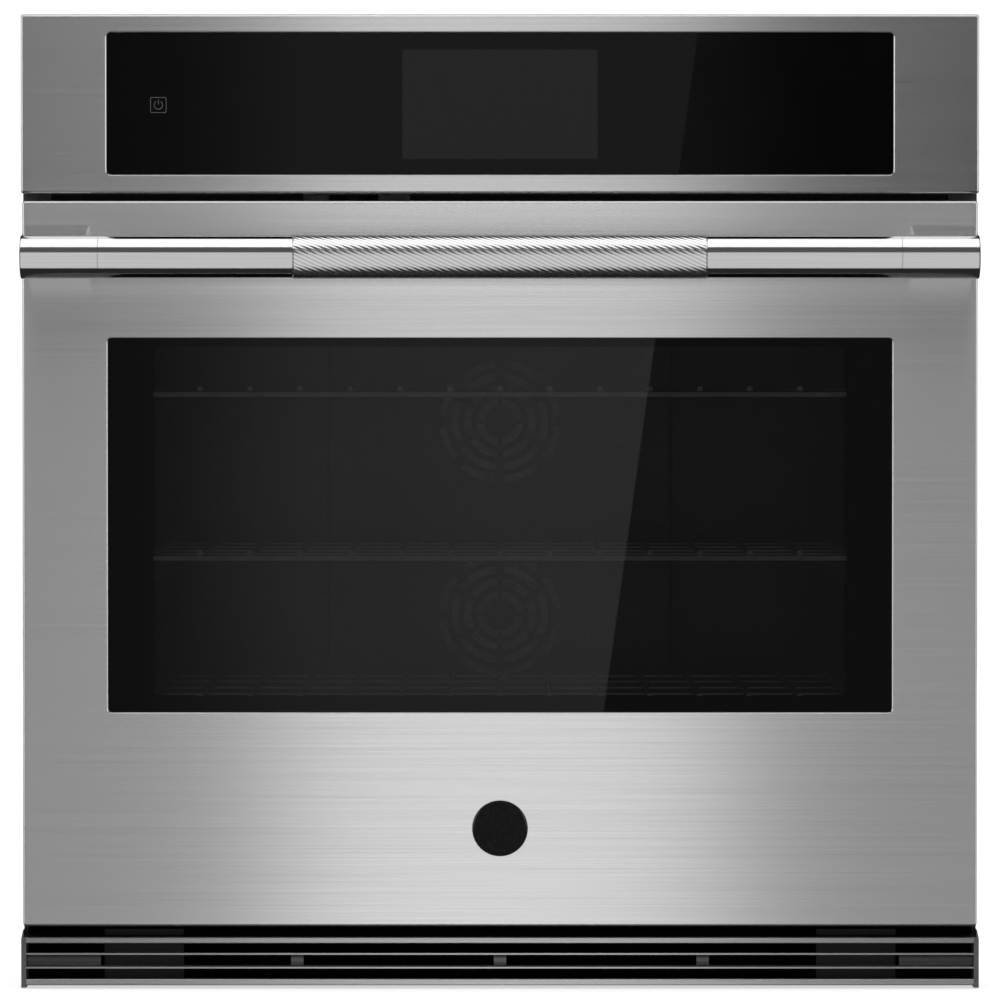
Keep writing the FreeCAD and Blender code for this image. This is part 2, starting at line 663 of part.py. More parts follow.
def fan_motor(z):
    """One fan motor: a laminated stator, its end bracket and a mounting plate behind the insulation."""
    y = MOTOR_FRONT_Y
    plate = fillet_along(box((-42, 42), (y, y + 1.5), (z - 42, z + 42)), Y_AXIS, 8)
    stator = fillet_along(box((-30, 30), (y + 8, y + 34), (z - 30, z + 30)), Y_AXIS, 3)
    bell = rod(V(0, y + 34, z), Y_AXIS, MOTOR_BACK_Y - y - 34, 20)
    posts = [rod(V(x, y + 1, z + dz), Y_AXIS, 8, 3) for x in (-24, 24) for dz in (-24, 24)]
    motor = fuse_all([plate, stator, bell] + posts)
    bore = rod(V(0, y - 1, z), Y_AXIS, 24, SHAFT_R + PIN_CLEARANCE)
    return motor.cut(bore)


# ---------------------------------------------------------------- door

def door_skin():
    """The front sheet of the door: a folded tray with a lip all round and a bevelled window."""
    w = DOOR_HALF_W
    z = (DOOR_BOTTOM_Z, DOOR_TOP_Z)
    tray = pressed_block(w, (FRONT_Y, SKIN_BACK_Y), z, BEND_R, BEND_R, FRONT_Y)
    inside_y = (FRONT_Y + SHEET, SKIN_BACK_Y - SHEET)
    bend_r = BEND_R - SHEET
    inside = pressed_block(w - SHEET, inside_y, (z[0] + SHEET, z[1] - SHEET), bend_r, bend_r, inside_y[0])
    back_mouth = box((-w + LIP, w - LIP), (SKIN_BACK_Y - 2, SKIN_BACK_Y + 1), (z[0] + LIP, z[1] - 16))
    window_z = (WINDOW_BOTTOM_Z, WINDOW_TOP_Z)
    window = rounded_slab(WINDOW_HALF_W, (FRONT_Y - 1, FRONT_Y + 2), window_z, WINDOW_R)
    arm_slot = box((HINGE_X - 9, HINGE_X + 9), (-40, SKIN_BACK_Y + 1), (z[0] - 1, z[0] + LIP + 1))
    skin = cut_all(tray, [inside, back_mouth, window] + both_sides(arm_slot))
    return skin.makeChamfer(WINDOW_BEVEL, window_edges(skin, WINDOW_HALF_W))


def door_outer_glass():
    """The dark window pane that lies against the back of the front sheet."""
    return rounded_slab(WINDOW_HALF_W + 10, (FRONT_Y + SHEET, FRONT_Y + SHEET + GLASS_T),
                        (WINDOW_BOTTOM_Z - 8, WINDOW_TOP_Z + 8), 6)


def door_inner_glass():
    """The middle pane and the hot pane that lies against the liner."""
    middle = rounded_slab(MIDDLE_PANE_HALF_W, MIDDLE_PANE_Y, MIDDLE_PANE_Z, 6)
    hot_z = (LINER_WINDOW_BOTTOM_Z - 8, LINER_WINDOW_TOP_Z + 8)
    hot = rounded_slab(LINER_WINDOW_HALF_W + 8, HOT_PANE_Y, hot_z, 6)
    return [middle, hot]


def door_liner():
    """The enamelled inner pan of the door, with its window and the slot for the latch hook."""
    z = (LINER_BOTTOM_Z, LINER_TOP_Z)
    y = (SKIN_BACK_Y, LINER_BACK_Y)
    pan = pressed_block(LINER_HALF_W, y, z, 12, 3, y[1])
    inside_y = (y[0] - 1, y[1] - SHEET)
    inside = pressed_block(LINER_HALF_W - SHEET, inside_y, (z[0] + SHEET, z[1] - SHEET), 11, 2, inside_y[1])
    window_z = (LINER_WINDOW_BOTTOM_Z, LINER_WINDOW_TOP_Z)
    window = rounded_slab(LINER_WINDOW_HALF_W, (y[0], y[1] + 1), window_z, 10)
    latch_slot = box((LATCH_X - 7.5, LATCH_X + 34), (y[0], y[1] + 1), (LATCH_Z[0] - 2.5, LATCH_Z[1] + 2.5))
    return cut_all(pan, [inside, window, latch_slot])


def hinge_arm():
    """The right hinge arm: a flat bar fixed in the chassis, round at the door's pivot, and its pin."""
    x = (HINGE_X - ARM_T / 2, HINGE_X + ARM_T / 2)
    bar = box(x, (PIVOT_Y, ARM_BACK_Y), (ARM_BOTTOM_Z, ARM_TOP_Z))
    round_end = rod(V(x[0], PIVOT_Y, PIVOT_Z), X_AXIS, ARM_T, ARM_END_R)
    hook = box(x, (ARM_BACK_Y - 8, ARM_BACK_Y), (ARM_BOTTOM_Z - 5, ARM_BOTTOM_Z + 1))
    pin_half = CHANNEL_HALF_W + 0.8
    pin = rod(V(HINGE_X - pin_half, PIVOT_Y, PIVOT_Z), X_AXIS, 2 * pin_half, HINGE_PIN_R)
    return fuse_all([bar, round_end, hook, pin])


def hinge_channel():
    """The right hinge channel in the door: a U that is open to the back and turns on the arm's pin."""
    t = 1.2
    x = (HINGE_X - CHANNEL_HALF_W, HINGE_X + CHANNEL_HALF_W)
    y = (-40.2, -17.5)
    outer = box(x, y, (54, CHANNEL_TOP_Z))
    inside = box((x[0] + t, x[1] - t), (y[0] + t, y[1] + 1), (53, CHANNEL_TOP_Z + 1))
    bore = rod(V(x[0] - 1, PIVOT_Y, PIVOT_Z), X_AXIS, 2 * CHANNEL_HALF_W + 2, HINGE_PIN_R + PIN_CLEARANCE)
    return outer.cut(inside).cut(bore)


def hinge_spring():
    """The right closing spring: a close-wound coil between two hooks in the hinge channel."""
    y = -29.0
    z0, coils, wire = 118.0, 34, 3.0
    points = [V(HINGE_X, y, z0)]
    edges = []
    r_low, r_high = 5.6, 7.0
    previous = V(HINGE_X + r_low, y, z0)
    edges.append(Part.makeLine(points[0], previous))
    for i in range(coils):
        z = z0 + wire * i
        middle = V(HINGE_X + r_high, y, z + wire / 2)
        after = V(HINGE_X + r_low, y, z + wire)
        edges.append(Part.Arc(previous, middle, after).toShape())
        previous = after
    top = V(HINGE_X, y, z0 + wire * coils)
    edges.append(Part.makeLine(previous, top))
    edges.append(Part.makeLine(top, points[0]))
    body = Part.Face(Part.Wire(edges)).revolve(points[0], Z_AXIS, 360)
    lower = rod(V(HINGE_X, y, 84), Z_AXIS, z0 - 83, 1.5)
    upper = rod(V(HINGE_X, y, top.z - 1), Z_AXIS, 24, 1.5)
    anchor = rod(V(HINGE_X - 8.6, y, top.z + 22), X_AXIS, 17.2, 2)
    return fuse_all([body, lower, upper, anchor])


def receiver():
    """The right hinge receiver: a square channel behind the front frame that holds the arm."""
    x = (HINGE_X - 11, HINGE_X + 11)
    y = (FRAME_Y + SHEET, 74)
    outer = box(x, y, (PAN_Z + SHEET, 88))
    inside = box((x[0] + 1.5, x[1] - 1.5), (y[0] - 1, y[1] + 1), (PAN_Z + SHEET + 1.5, 86.5))
    shell = outer.cut(inside)
    for side in (-1, 1):
        guide = box(sorted((HINGE_X + side * 9.5, HINGE_X + side * ARM_T / 2)), (20, 50), (56, 76))
        shell = shell.fuse(guide)
    return shell.removeSplitter()


# ---------------------------------------------------------------- handle and badge

def handle_bar():
    """The polished tube, turned down in the middle to carry the grip sleeve."""
    core_r = GRIP_R - 2.5
    bore = rod(V(-TUBE_HALF_L - 1, HANDLE_Y, HANDLE_Z), X_AXIS, 2 * TUBE_HALF_L + 2, HANDLE_BORE_R)
    core = rod(V(-GRIP_HALF_L - 1, HANDLE_Y, HANDLE_Z), X_AXIS, 2 * GRIP_HALF_L + 2, core_r)
    end = rod(V(GRIP_HALF_L + 0.3, HANDLE_Y, HANDLE_Z), X_AXIS, TUBE_HALF_L - GRIP_HALF_L - 0.3, HANDLE_R)
    return fuse_all([core] + both_sides(end)).cut(bore)


def handle_grip():
    """The sleeve on the middle of the bar, which carries the knurling."""
    return pipe(V(-GRIP_HALF_L, HANDLE_Y, HANDLE_Z), X_AXIS, 2 * GRIP_HALF_L, GRIP_R, GRIP_R - 2.2)


def handle_bracket():
    """The right bracket: a round end in line with the bar and a wedge-topped neck down to the door."""
    start = TUBE_HALF_L + 0.3
    end = rod(V(start, HANDLE_Y, HANDLE_Z), X_AXIS, BRACKET_END_X - start, HANDLE_R)
    outer_rim = [e for e in end.Edges if e.BoundBox.XMin > BRACKET_END_X - 1e-6]
    end = end.makeFillet(1.0, outer_rim)
    rise = NECK_TOP_Z - HANDLE_Z
    run = FRONT_Y - HANDLE_Y
    reach = math.hypot(rise, run)
    angle = math.atan2(rise, run) + math.acos(HANDLE_R / reach)
    touch = (HANDLE_Y + HANDLE_R * math.cos(angle), HANDLE_Z + HANDLE_R * math.sin(angle))
    at_door = [(FRONT_Y, NECK_TOP_Z), (FRONT_Y, NECK_BOTTOM_Z)]
    profile = [touch] + at_door + [(HANDLE_Y, NECK_BOTTOM_Z), (HANDLE_Y, HANDLE_Z)]
    neck = prism_x(profile, NECK_INNER_X, NECK_OUTER_X)
    return fuse_all([end, neck])


def badge():
    """A plain round badge with a bevelled rim."""
    disc = rod(V(0, FRONT_Y - BADGE_T, BADGE_Z), Y_AXIS, BADGE_T, BADGE_R)
    rim = [e for e in disc.Edges if e.BoundBox.YMax < FRONT_Y - 2]
    return disc.makeChamfer(BADGE_BEVEL, rim)


# ---------------------------------------------------------------- control panel

def control_fascia():
    """The front sheet of the control panel, folded back all round, with a bevelled glass opening."""
    w = PANEL_HALF_W
    z = (PANEL_BOTTOM_Z, PANEL_TOP_Z)
    tray = pressed_block(w, (FRONT_Y, PANEL_BACK_Y), z, BEND_R, BEND_R, FRONT_Y)
    inside_y = (FRONT_Y + SHEET, PANEL_BACK_Y - SHEET)
    bend_r = BEND_R - SHEET
    inside = pressed_block(w - SHEET, inside_y, (z[0] + SHEET, z[1] - SHEET), bend_r, bend_r, inside_y[0])
    back_mouth = box((-356.4, 356.4), (PANEL_BACK_Y - 2, PANEL_BACK_Y + 1), (z[0] + 10, z[1] - 14))
    window = rounded_slab(GLASS_HALF_W, (FRONT_Y - 1, FRONT_Y + 2), (GLASS_BOTTOM_Z, GLASS_TOP_Z), 4)
    tabs = both_sides(box((355.4, 356.4), (PANEL_BACK_Y - SHEET, 24), (660, 740)))
    fascia = cut_all(tray, [inside, back_mouth, window])
    fascia = fascia.makeChamfer(WINDOW_BEVEL, window_edges(fascia, GLASS_HALF_W))
    bends = both_sides(box((355.4, 357), (PANEL_BACK_Y - SHEET, PANEL_BACK_Y), (650, 750)))
    return fuse_all([fascia] + tabs + bends)


def control_glass():
    """The black glass of the control panel, which lies against the back of the front sheet."""
    return rounded_slab(GLASS_HALF_W + 8, (FRONT_Y + SHEET, FRONT_Y + SHEET + GLASS_T),
                        (GLASS_BOTTOM_Z - 8, GLASS_TOP_Z + 8), 6)


def display_module():
    """The touch display in its frame, behind the glass."""
    y0 = FRONT_Y + SHEET + GLASS_T
    panel = rounded_slab(DISPLAY_HALF_W, (y0, y0 + 6), (DISPLAY_BOTTOM_Z, DISPLAY_TOP_Z), 2)
    frame = rounded_slab(DISPLAY_HALF_W + 6, (y0 + 6, y0 + 10), (DISPLAY_BOTTOM_Z - 5, DISPLAY_TOP_Z + 5), 4)
    return fuse_all([panel, frame])


def control_board():
    """The main board behind the display, with its relays, and the power board over the cavity."""
    main = box((-190, 190), (-24, -22.4), (655, 745))
    posts = [rod(V(x, -31, z), Y_AXIS, 7.5, 3) for x in (-60, 60) for z in (665, 735)]
    chips = [box((x, x + 18), (-22.8, -8), (670, 700)) for x in (-170, -140, -110, 90, 120, 150)]
    plug = box((-40, 40), (-22.8, -12), (712, 730))
    power = box((90, 270), (120, 300), (620, 621.6))
    feet = [rod(V(x, y, DIVIDER_Z + SHEET), Z_AXIS, 19.5, 4) for x in (100, 260) for y in (130, 290)]
    relays = [box((110 + 36 * i, 138 + 36 * i), (150, 170), (621, 645)) for i in range(4)]
    coil = rod(V(225, 250, 621), Z_AXIS, 34, 24)
    return [fuse_all([main, plug] + posts + chips), fuse_all([power, coil] + feet + relays)]


# ---------------------------------------------------------------- latch, switch and blower

def latch_motor():
    """The latch's base plate, its pivot pin and the small motor that turns the hook."""
    floor_z = DIVIDER_Z + SHEET
    plate = box((-160, -60), (10, 92), (floor_z, floor_z + 1.5))
    pin = rod(V(LATCH_X, LATCH_Y, floor_z), Z_AXIS, 12, LATCH_PIN_R)
    clip = rod(V(LATCH_X, LATCH_Y, LATCH_Z[1] + 0.5), Z_AXIS, 1.5, 6)
    posts = [box((x, x + 6), (70, 76), (floor_z, 622)) for x in (-150, -92)]
    deck = box((-150, -86), (46, 90), (620, 621.5))
    motor = rod(V(LATCH_X, 68, 621), Z_AXIS, 26, 20)
    return fuse_all([plate, pin, clip, deck, motor] + posts)


def latch_hook():
    """The hook that swings forward about its pin and catches behind the door liner."""
    reach = LATCH_REACH
    arm = box((LATCH_X, LATCH_X + reach), (LATCH_Y - 5, LATCH_Y + 5), LATCH_Z)
    barb = box((LATCH_X + reach - 7.5, LATCH_X + reach), (LATCH_Y - 14, LATCH_Y - 4), LATCH_Z)
    eye = rod(V(LATCH_X, LATCH_Y, LATCH_Z[0]), Z_AXIS, LATCH_Z[1] - LATCH_Z[0], 7)
    bore = rod(V(LATCH_X, LATCH_Y, LATCH_Z[0] - 1), Z_AXIS, 5, LATCH_PIN_R + PIN_CLEARANCE)
    return fuse_all([arm, barb, eye]).cut(bore)


def door_switch():
    """The switch body over the cavity with the bore that guides its plunger."""
    body = box((SWITCH_X - 12, SWITCH_X + 12), (14, 40), (DIVIDER_Z + SHEET, 618))
    bore = rod(V(SWITCH_X, 13, SWITCH_Z), Y_AXIS, 22, PLUNGER_R + PIN_CLEARANCE)
    tabs = [box((x, x + 4), (40, 50), (605, 606)) for x in (SWITCH_X - 8, SWITCH_X + 4)]
    return fuse_all([body] + tabs).cut(bore)


def switch_plunger():
    """The round plunger that the closed door holds in."""
    start = LINER_BACK_Y + 0.3
    pin = rod(V(SWITCH_X, start, SWITCH_Z), Y_AXIS, 27 - start, PLUNGER_R)
    tip = [e for e in pin.Edges if e.BoundBox.YMax < start + 1e-6]
    return pin.makeFillet(1.2, tip)


def blower_housing():
    """The sheet box round the cooling wheel, with a round inlet on top and its mouth to the back."""
    z = (DIVIDER_Z + SHEET, BLOWER_HOUSING_TOP_Z)
    outer = box((-78, 78), (BLOWER_Y - 75, 574), z)
    inside = box((-77, 77), (BLOWER_Y - 74, 573), (z[0] + SHEET, z[1] - SHEET))
    inlet = rod(V(0, BLOWER_Y, z[1] - 2), Z_AXIS, 4, 38)
    outlet = box((-60, 60), (538, 571), (z[0] - 1, z[0] + 2))
    return cut_all(outer, [inside, inlet, outlet])


def blower_motor():
    """The blower's motor on a three-legged bracket over the inlet."""
    z = BLOWER_HOUSING_TOP_Z
    body = rod(V(0, BLOWER_Y, z + 10), Z_AXIS, 42, 30)
    rims = [e for e in body.Edges if e.BoundBox.ZMin > z + 51]
    body = body.makeFillet(5, rims)
    legs = []
    for i in range(3):
        leg = box((24, 60), (BLOWER_Y - 6, BLOWER_Y + 6), (z + 9, z + 11))
        foot = box((56, 60), (BLOWER_Y - 6, BLOWER_Y + 6), (z, z + 10))
        for piece in (leg, foot):
            piece.rotate(V(0, BLOWER_Y, 0), Z_AXIS, 120 * i + 30)
            legs.append(piece)
    bore = rod(V(0, BLOWER_Y, z + 5), Z_AXIS, 25, SHAFT_R + PIN_CLEARANCE)
    return fuse_all([body] + legs).cut(bore)


def blower_wheel():
    """The cooling wheel: a ring of blades between a back disc and a rim, on its shaft."""
    z0, z1 = BLOWER_Z
    disc = rod(V(0, BLOWER_Y, z0), Z_AXIS, 1.2, BLOWER_R)
    rim = pipe(V(0, BLOWER_Y, z1 - 2), Z_AXIS, 2, BLOWER_R, BLOWER_R - 9)
    hub = rod(V(0, BLOWER_Y, z0), Z_AXIS, 16, 10)
    shaft = rod(V(0, BLOWER_Y, z0), Z_AXIS, BLOWER_HOUSING_TOP_Z + 24 - z0, SHAFT_R)
    pieces = [disc, rim, hub, shaft]
    for i in range(24):
        blade = box((BLOWER_R - 8, BLOWER_R - 1), (BLOWER_Y - 0.5, BLOWER_Y + 0.5), (z0 + 0.6, z1 - 1))
        blade.rotate(V(0, BLOWER_Y, 0), Z_AXIS, 15.0 * i)
        pieces.append(blade)
    return fuse_all(pieces)


# ---------------------------------------------------------------- bottom vent

def folded_rail(z, top_flange_y, bottom_flange_y):
    """A strip with an upright face at the vent's front and a flange back from each edge."""
    y = VENT_FRONT_Y
    face = box((-RAIL_HALF_L, RAIL_HALF_L), (y, y + RAIL_T), z)
    top = box((-RAIL_HALF_L, RAIL_HALF_L), (y, top_flange_y), (z[1] - RAIL_T, z[1]))
    bottom = box((-RAIL_HALF_L, RAIL_HALF_L), (y, bottom_flange_y), (z[0], z[0] + RAIL_T))
    rail = fuse_all([face, top, bottom])
    return fillet_along(rail, X_AXIS, 0.8, lambda c: c.y < y + 0.1)


def slotted_rail():
    """The middle rail: a channel that is open to the front, with four long air slots in its web."""
    z0, z1 = MIDDLE_RAIL_Z
    y = VENT_FRONT_Y
    back = y + CHANNEL_DEPTH
    outer = box((-RAIL_HALF_L, RAIL_HALF_L), (y, back), (z0, z1))
    hollow = box((-RAIL_HALF_L - 1, RAIL_HALF_L + 1), (y - 1, back - RAIL_T), (z0 + RAIL_T, z1 - RAIL_T))
    hollow = fillet_along(hollow, X_AXIS, CHANNEL_BEND_R, lambda c: c.y > y)
    slots = []
    for i in range(4):
        x = (i - 1.5) * VENT_SLOT_PITCH
        slots.append(box((x - VENT_SLOT_L / 2, x + VENT_SLOT_L / 2), (y - 1, back + 1), VENT_SLOT_Z))
    return cut_all(outer, [hollow] + slots)


def vent_end_cap():
    """The right end cap, whose sloping top corner stands outside the door's swing."""
    lobe_x = DOOR_HALF_W + CAP_DOOR_GAP
    outer = [(CAP_OUTER_X, CAP_BOTTOM_Z), (CAP_OUTER_X, CAP_TOP_Z - CAP_SLOPE), (lobe_x + 0.4, CAP_TOP_Z)]
    inner = [(lobe_x, CAP_TOP_Z), (lobe_x, TOP_RAIL_Z[1]), (RAIL_HALF_L, TOP_RAIL_Z[1])]
    points = [(RAIL_HALF_L, CAP_BOTTOM_Z)] + outer + inner
    wire = Part.makePolygon([V(x, VENT_FRONT_Y - 1, z) for x, z in points + points[:1]])
    return Part.Face(wire).extrude(V(0, CAP_DEPTH, 0))


def vent_baffle():
    """The dark plate behind the rails, with the two brackets that carry it and the rails."""
    plate = box((-RAIL_HALF_L, RAIL_HALF_L), BAFFLE_PLATE_Y, BAFFLE_PLATE_Z)
    upright_y = (VENT_PLATE_Y, VENT_PLATE_Y + VENT_PLATE_T)
    upright = box(VENT_PLATE_X, upright_y, (BOTTOM_RAIL_Z[0], PAN_Z))
    foot_z = (PAN_Z - VENT_PLATE_T, PAN_Z)
    foot = box((VENT_PLATE_X[0], VENT_FOOT_X), (VENT_PLATE_Y, VENT_FOOT_BACK_Y), foot_z)
    return fuse_all([plate] + both_sides(fuse_all([upright, foot])))


# ---------------------------------------------------------------- racks

def rack_frame(z):
    """The closed outer rod of a rack, with round corners."""
    w, y0, y1, r = RACK_HALF_W, RACK_FRONT_Y, RACK_BACK_Y, 14.0
    k = r * (1 - math.sqrt(0.5))
    corners = [(-w, y0, 1, 1), (w, y0, -1, 1), (w, y1, -1, -1), (-w, y1, 1, -1)]
    edges = []
    for i, (cx, cy, sx, sy) in enumerate(corners):
        along_x = V(cx + sx * r, cy, z)
        along_y = V(cx, cy + sy * r, z)
        middle = V(cx + sx * k, cy + sy * k, z)
        first, last = (along_y, along_x) if i % 2 == 0 else (along_x, along_y)
        edges.append(Part.Arc(first, middle, last).toShape())
        nx, ny, nsx, nsy = corners[(i + 1) % 4]
        following = V(nx + nsx * r, ny, z) if i % 2 == 0 else V(nx, ny + nsy * r, z)
        edges.append(Part.makeLine(last, following))
    path = Part.Wire(edges)
    start = edges[0].firstVertex(True).Point
    profile = Part.Wire(Part.makeCircle(RACK_ROD_R, start, edges[0].tangentAt(edges[0].FirstParameter)))
    return path.makePipeShell([profile], True, False)


def rack(z):
    """A wire rack: the outer rod, the lengthwise wires that rest on it and three cross rods below."""
    top = z + RACK_ROD_R + RACK_WIRE_R - 0.9
    length = RACK_BACK_Y - RACK_FRONT_Y
    pieces = [rack_frame(z)]
    for i in range(-RACK_WIRES_EACH_SIDE, RACK_WIRES_EACH_SIDE + 1):
        x = i * RACK_WIRE_PITCH
        pieces.append(rod(V(x, RACK_FRONT_Y - 1.5, top), Y_AXIS, length + 3, RACK_WIRE_R))
    for y in (RACK_FRONT_Y + 100, RACK_FRONT_Y + 206, RACK_FRONT_Y + 312):
        pieces.append(rod(V(-RACK_HALF_W, y, z), X_AXIS, 2 * RACK_HALF_W, RACK_ROD_R - 0.4))
    return fuse_all(pieces)


def rack_guide():
    """The right wire ladder on the cavity wall: a rail under each rack level, tied by three uprights."""
    drop = RACK_ROD_R + GUIDE_ROD_R + GUIDE_GAP
    levels = [UPPER_RACK_Z, MIDDLE_RACK_Z - ROLL_OUT_LIFT, LOWER_RACK_Z] + list(SPARE_GUIDE_Z)
    rails = [rod(V(GUIDE_X, 30, z - drop), Y_AXIS, 410, GUIDE_ROD_R) for z in levels]
    low, high = min(levels) - drop - 16, max(levels) - drop + 30
    wall_x = CAVITY_HALF_W - GUIDE_ROD_R - 0.2
    uprights = [rod(V(wall_x, y, low), Z_AXIS, high - low, GUIDE_ROD_R) for y in GUIDE_UPRIGHT_Y]
    ties = []
    for z in levels:
        for y in GUIDE_UPRIGHT_Y:
            ties.append(rod(V(GUIDE_X, y, z - drop), X_AXIS, wall_x - GUIDE_X, GUIDE_ROD_R - 0.4))
    return fuse_all(rails + uprights + ties)


# ---------------------------------------------------------------- roll-out rack slides

def slide_profile(x_outer, width, z, y, wall, opening):
    """A C-shaped slide that is open towards the cavity's middle."""
    body = box((x_outer - width, x_outer), y, z)
    hollow_z = (z[0] + opening, z[1] - opening)
    hollow = box((x_outer - width - 1, x_outer - wall), (y[0] - 1, y[1] + 1), hollow_z)
    return body.cut(hollow)


def slide_outer():
    """The right fixed slide, which stands on the guide rail and is hooked to it."""
    return slide_profile(SLIDE_X + 2, 12, SLIDE_Z, SLIDE_Y, 1.2, 1.2)


def slide_middle():
    """The right telescoping slide between the fixed one and the rack."""
    z = (SLIDE_Z[0] + 1.5, SLIDE_Z[1] - 1.5)
    return slide_profile(SLIDE_X + 0.5, 8, z, SLIDE_Y, 1.2, 1.2)


def rack_runner():
    """The right runner under the roll-out rack, inside the telescoping slide."""
    z = (SLIDE_Z[0] + 3.2, SLIDE_Z[1] - 3.2)
    bar = box((SLIDE_X - 14, SLIDE_X - 1.2), SLIDE_Y, z)
    riser = box((SLIDE_X - 14, SLIDE_X - 12.4), SLIDE_Y, (z[0], MIDDLE_RACK_Z + 1))
    return fuse_all([bar, riser])


# ---------------------------------------------------------------- fasteners and inlet

def screw(point, axis):
    """A pan-head screw whose head's underside is at a point and whose head stands along an axis."""
    shank = rod(point.sub(V(axis) * 6), axis, 6.5, SCREW_R)
    head = rod(point, axis, SCREW_HEAD_H, SCREW_HEAD_R)
    rim = [e for e in head.Edges if (e.CenterOfMass.sub(point)).dot(axis) > SCREW_HEAD_H - 0.1 and e.Closed]
    head = head.makeFillet(1.0, rim[:1])
    recess = box((-0.5, 0.5), (-2.2, 2.2), (0, 2)).fuse(box((-2.2, 2.2), (-0.5, 0.5), (0, 2)))
    turn = FreeCAD.Rotation(Z_AXIS, axis)
    recess.Placement = FreeCAD.Placement(point + V(axis) * (SCREW_HEAD_H - 1.2), turn)
    return head.fuse(shank).cut(recess).removeSplitter()


def chassis_screws():
    """The screws that hold the back cover and the top cover to the side sheets."""
    screws = []
    for side in (-1, 1):
        for z in REAR_SCREW_Z:
            screws.append(screw(V(side * REAR_SCREW_X, CHASSIS_DEPTH, z), Y_AXIS))
        for y in TOP_SCREW_Y:
            screws.append(screw(V(side * REAR_SCREW_X, y, CHASSIS_TOP_Z), Z_AXIS))
    return screws


def conduit_connector():
    """The electrical inlet: a hollow connector through the back cover, and its locknut inside."""
    y0 = CHASSIS_DEPTH - 14
    sleeve = rod(V(INLET_X, y0, INLET_Z), Y_AXIS, 14 + GLAND_REACH, INLET_HOLE_R - PIN_CLEARANCE)
    collar = rod(V(INLET_X, CHASSIS_DEPTH, INLET_Z), Y_AXIS, GLAND_REACH, 15)
    clamp_y = (CHASSIS_DEPTH + 2, CHASSIS_DEPTH + GLAND_REACH)
    clamp = box((INLET_X - 3, INLET_X + 3), clamp_y, (INLET_Z, INLET_Z + 19))
    bore = rod(V(INLET_X, y0 - 1, INLET_Z), Y_AXIS, 16 + GLAND_REACH, INLET_BORE_R)
    body = fuse_all([sleeve, collar, clamp]).cut(bore)
    nut = pipe(V(INLET_X, CHASSIS_DEPTH - 6, INLET_Z), Y_AXIS, 5, 16, INLET_HOLE_R)
    return [body, nut]


# ---------------------------------------------------------------- write every node

def build():
    os.makedirs("parts", exist_ok=True)

    export("side_panel_right", side_panel())
    export("side_panel_left", mirrored(side_panel()))
    export("top_cover", top_cover())
    export("rear_cover", rear_cover())
    export("base_pan", base_pan(), *both_sides(base_runner()))
    export("side_trim_right", side_trim())
    export("side_trim_left", mirrored(side_trim()))
    export("upper_gap_trim", upper_gap_trim())
    export("divider_plate", divider_plate())
    export("chassis_screws", *chassis_screws())
    export("conduit_connector", *conduit_connector())

    floor, ceiling, sides, back = cavity_panels()
    export("cavity_floor", floor)
    export("cavity_ceiling", ceiling)
    export("cavity_sides", *sides)
    export("cavity_back", back)
    export("cavity_front_frame", cavity_front_frame())
    export("door_gasket", door_gasket())
    export("insulation", insulation())

    export("broil_element", *broil_element())
    export("bake_element", bake_element())
    export("convection_elements", *[convection_element(z) for z in FAN_Z])
    housing, lens = lamp()
    export("lamp_housings", *(housing + [mirrored(piece) for piece in housing]))
    export("lamp_lenses", *both_sides(lens))
    export("temperature_probe", temperature_probe())

    export("fan_baffle", fan_baffle())
    export("fan_motors", *[fan_motor(z) for z in FAN_Z])
    export("fan_wheel_lower", fan_wheel(FAN_Z[0]))
    export("fan_wheel_upper", fan_wheel(FAN_Z[1]))

    export("door_skin", door_skin())
    export("door_outer_glass", door_outer_glass())
    export("door_inner_glass", *door_inner_glass())
    export("door_liner", door_liner())
    export("hinge_channels", *both_sides(hinge_channel()))
    export("hinge_springs", *both_sides(hinge_spring()))
    export("hinge_arms", *both_sides(hinge_arm()))
    export("hinge_receivers", *both_sides(receiver()))
    export("handle_bar", handle_bar())
    export("handle_grip", handle_grip())
    export("handle_brackets", *both_sides(handle_bracket()))
    export("badge", badge())

    export("control_fascia", control_fascia())
    export("control_glass", control_glass())
    export("display_module", display_module())
    export("control_boards", *control_board())

    export("latch_motor", latch_motor())
    export("latch_hook", latch_hook())
    export("door_switch", door_switch())
    export("switch_plunger", switch_plunger())
    export("blower_housing", blower_housing())
    export("blower_motor", blower_motor())
    export("blower_wheel", blower_wheel())

    export("vent_rails", folded_rail(TOP_RAIL_Z, VENT_PLATE_Y, VENT_FRONT_Y + 5), slotted_rail(),
           folded_rail(BOTTOM_RAIL_Z, VENT_FRONT_Y + 5, VENT_PLATE_Y))
    export("vent_end_caps", *both_sides(vent_end_cap()))
    export("vent_baffle", vent_baffle())

    export("rack_upper", rack(UPPER_RACK_Z))
    export("rack_lower", rack(LOWER_RACK_Z))
    export("rack_roll_out", fuse_all([rack(MIDDLE_RACK_Z)] + both_sides(rack_runner())))
    export("rack_guides", *both_sides(rack_guide()))
    export("slide_rails_outer", *both_sides(slide_outer()))
    export("slide_rails_middle", *both_sides(slide_middle()))


build()
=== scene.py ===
"""Looks of a built-in wall oven: materials, knurled handle, soft parts, printed marks, studio and camera."""

import json
import math

import bpy
import numpy as np
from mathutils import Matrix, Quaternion, Vector

